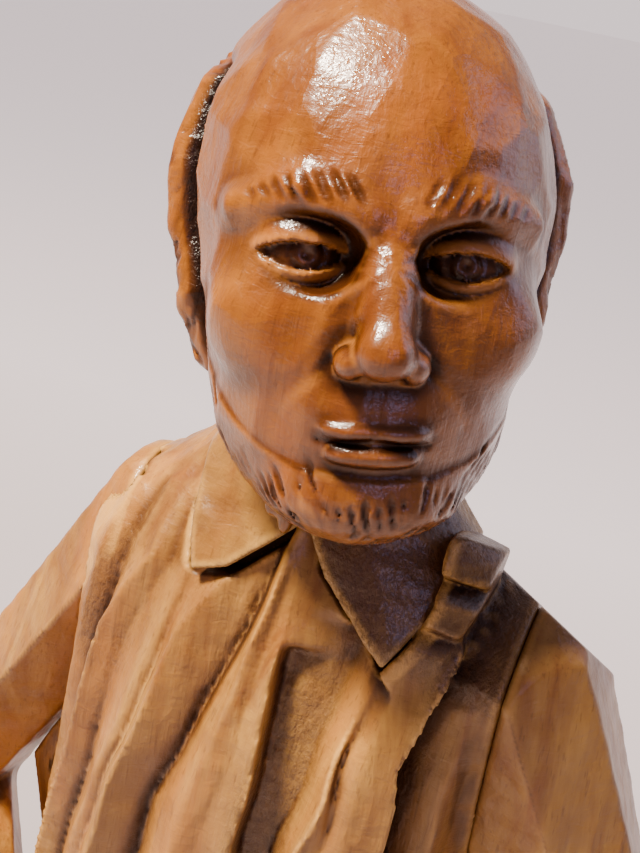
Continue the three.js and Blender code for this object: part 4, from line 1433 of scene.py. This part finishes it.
def build_lights():
    head = tuple(HEAD_CENTRE * MM)
    area_light("warm_key", (-0.33, -0.27, 0.85), head, (0.13, 0.17), 27.0, (1.0, 0.88, 0.72))
    area_light("cool_front", (0.50, -0.60, 0.46), head, (0.30, 0.30), 0.65, (0.50, 0.50, 1.0))
    area_light("cool_back", (0.62, 0.36, 0.60), head, (0.5, 0.6), 1.4, (0.66, 0.66, 1.0))
    world = bpy.data.worlds.new("studio")
    bpy.context.scene.world = world
    world.use_nodes = True
    tree = world.node_tree
    place = tree.nodes.new("ShaderNodeTexCoord").outputs["Generated"]
    split = tree.nodes.new("ShaderNodeSeparateXYZ")
    tree.links.new(place, split.inputs["Vector"])
    rise, back = tree.nodes.new("ShaderNodeMapRange"), tree.nodes.new("ShaderNodeMapRange")
    for node, axis, low, high in ((rise, "Z", 0.5, 0.10), (back, "Y", 0.3, 0.8)):
        tree.links.new(split.outputs[axis], node.inputs["Value"])
        node.inputs["From Min"].default_value, node.inputs["From Max"].default_value = low, high
    both = tree.nodes.new("ShaderNodeMath")
    both.operation = "MULTIPLY"
    tree.links.new(rise.outputs["Result"], both.inputs[0])
    tree.links.new(back.outputs["Result"], both.inputs[1])
    ramp = tree.nodes.new("ShaderNodeValToRGB")
    tree.links.new(both.outputs[0], ramp.inputs["Fac"])
    dim, bright = ramp.color_ramp.elements
    dim.color, bright.color = (0.16, 0.135, 0.145, 1), (1.2, 1.01, 1.02, 1)
    tree.links.new(ramp.outputs["Color"], tree.nodes["Background"].inputs["Color"])
    tree.nodes["Background"].inputs["Strength"].default_value = 1.0


CAMERA = {"azimuth": 18, "elevation": 12, "roll": 12, "distance": 115, "lens": 50}
IMAGE = (640, 853)
TARGET = vec(0, -6, 196)
TARGET_AT = (0.570, 0.293)  # where the head's middle sits in the frame, from its top left


def build_camera():
    """A close camera above the figure's left, rolled so that the figure leans to the right of the frame."""
    azimuth, elevation = math.radians(CAMERA["azimuth"]), math.radians(CAMERA["elevation"])
    roll = math.radians(CAMERA["roll"])
    focal = CAMERA["lens"] / 36 * IMAGE[1]
    back = vec(
        math.sin(azimuth) * math.cos(elevation), -math.cos(azimuth) * math.cos(elevation), math.sin(elevation)
    )
    place = TARGET + back * CAMERA["distance"]
    right = unit(np.cross(-back, vec(0, 0, 1)))
    up = np.cross(right, -back)
    right, up = math.cos(roll) * right + math.sin(roll) * up, math.cos(roll) * up - math.sin(roll) * right
    across = (TARGET_AT[0] - 0.5) * IMAGE[0] / focal
    above = (0.5 - TARGET_AT[1]) * IMAGE[1] / focal
    forward = unit(-back - across * right - above * up)
    right = unit(right - (right @ forward) * forward)
    up = np.cross(right, forward)
    data = bpy.data.cameras.new("camera")
    data.lens = CAMERA["lens"]
    data.sensor_width = 36
    data.sensor_fit = "AUTO"
    data.clip_start = 0.005
    camera = bpy.data.objects.new("camera", data)
    bpy.context.scene.collection.objects.link(camera)
    matrix = np.eye(4)
    matrix[:3, 0], matrix[:3, 1], matrix[:3, 2], matrix[:3, 3] = right, up, -forward, place * MM
    camera.matrix_world = Matrix(matrix.tolist())
    bpy.context.scene.camera = camera


build_floor()
build_lights()
build_camera()
build_pieces()
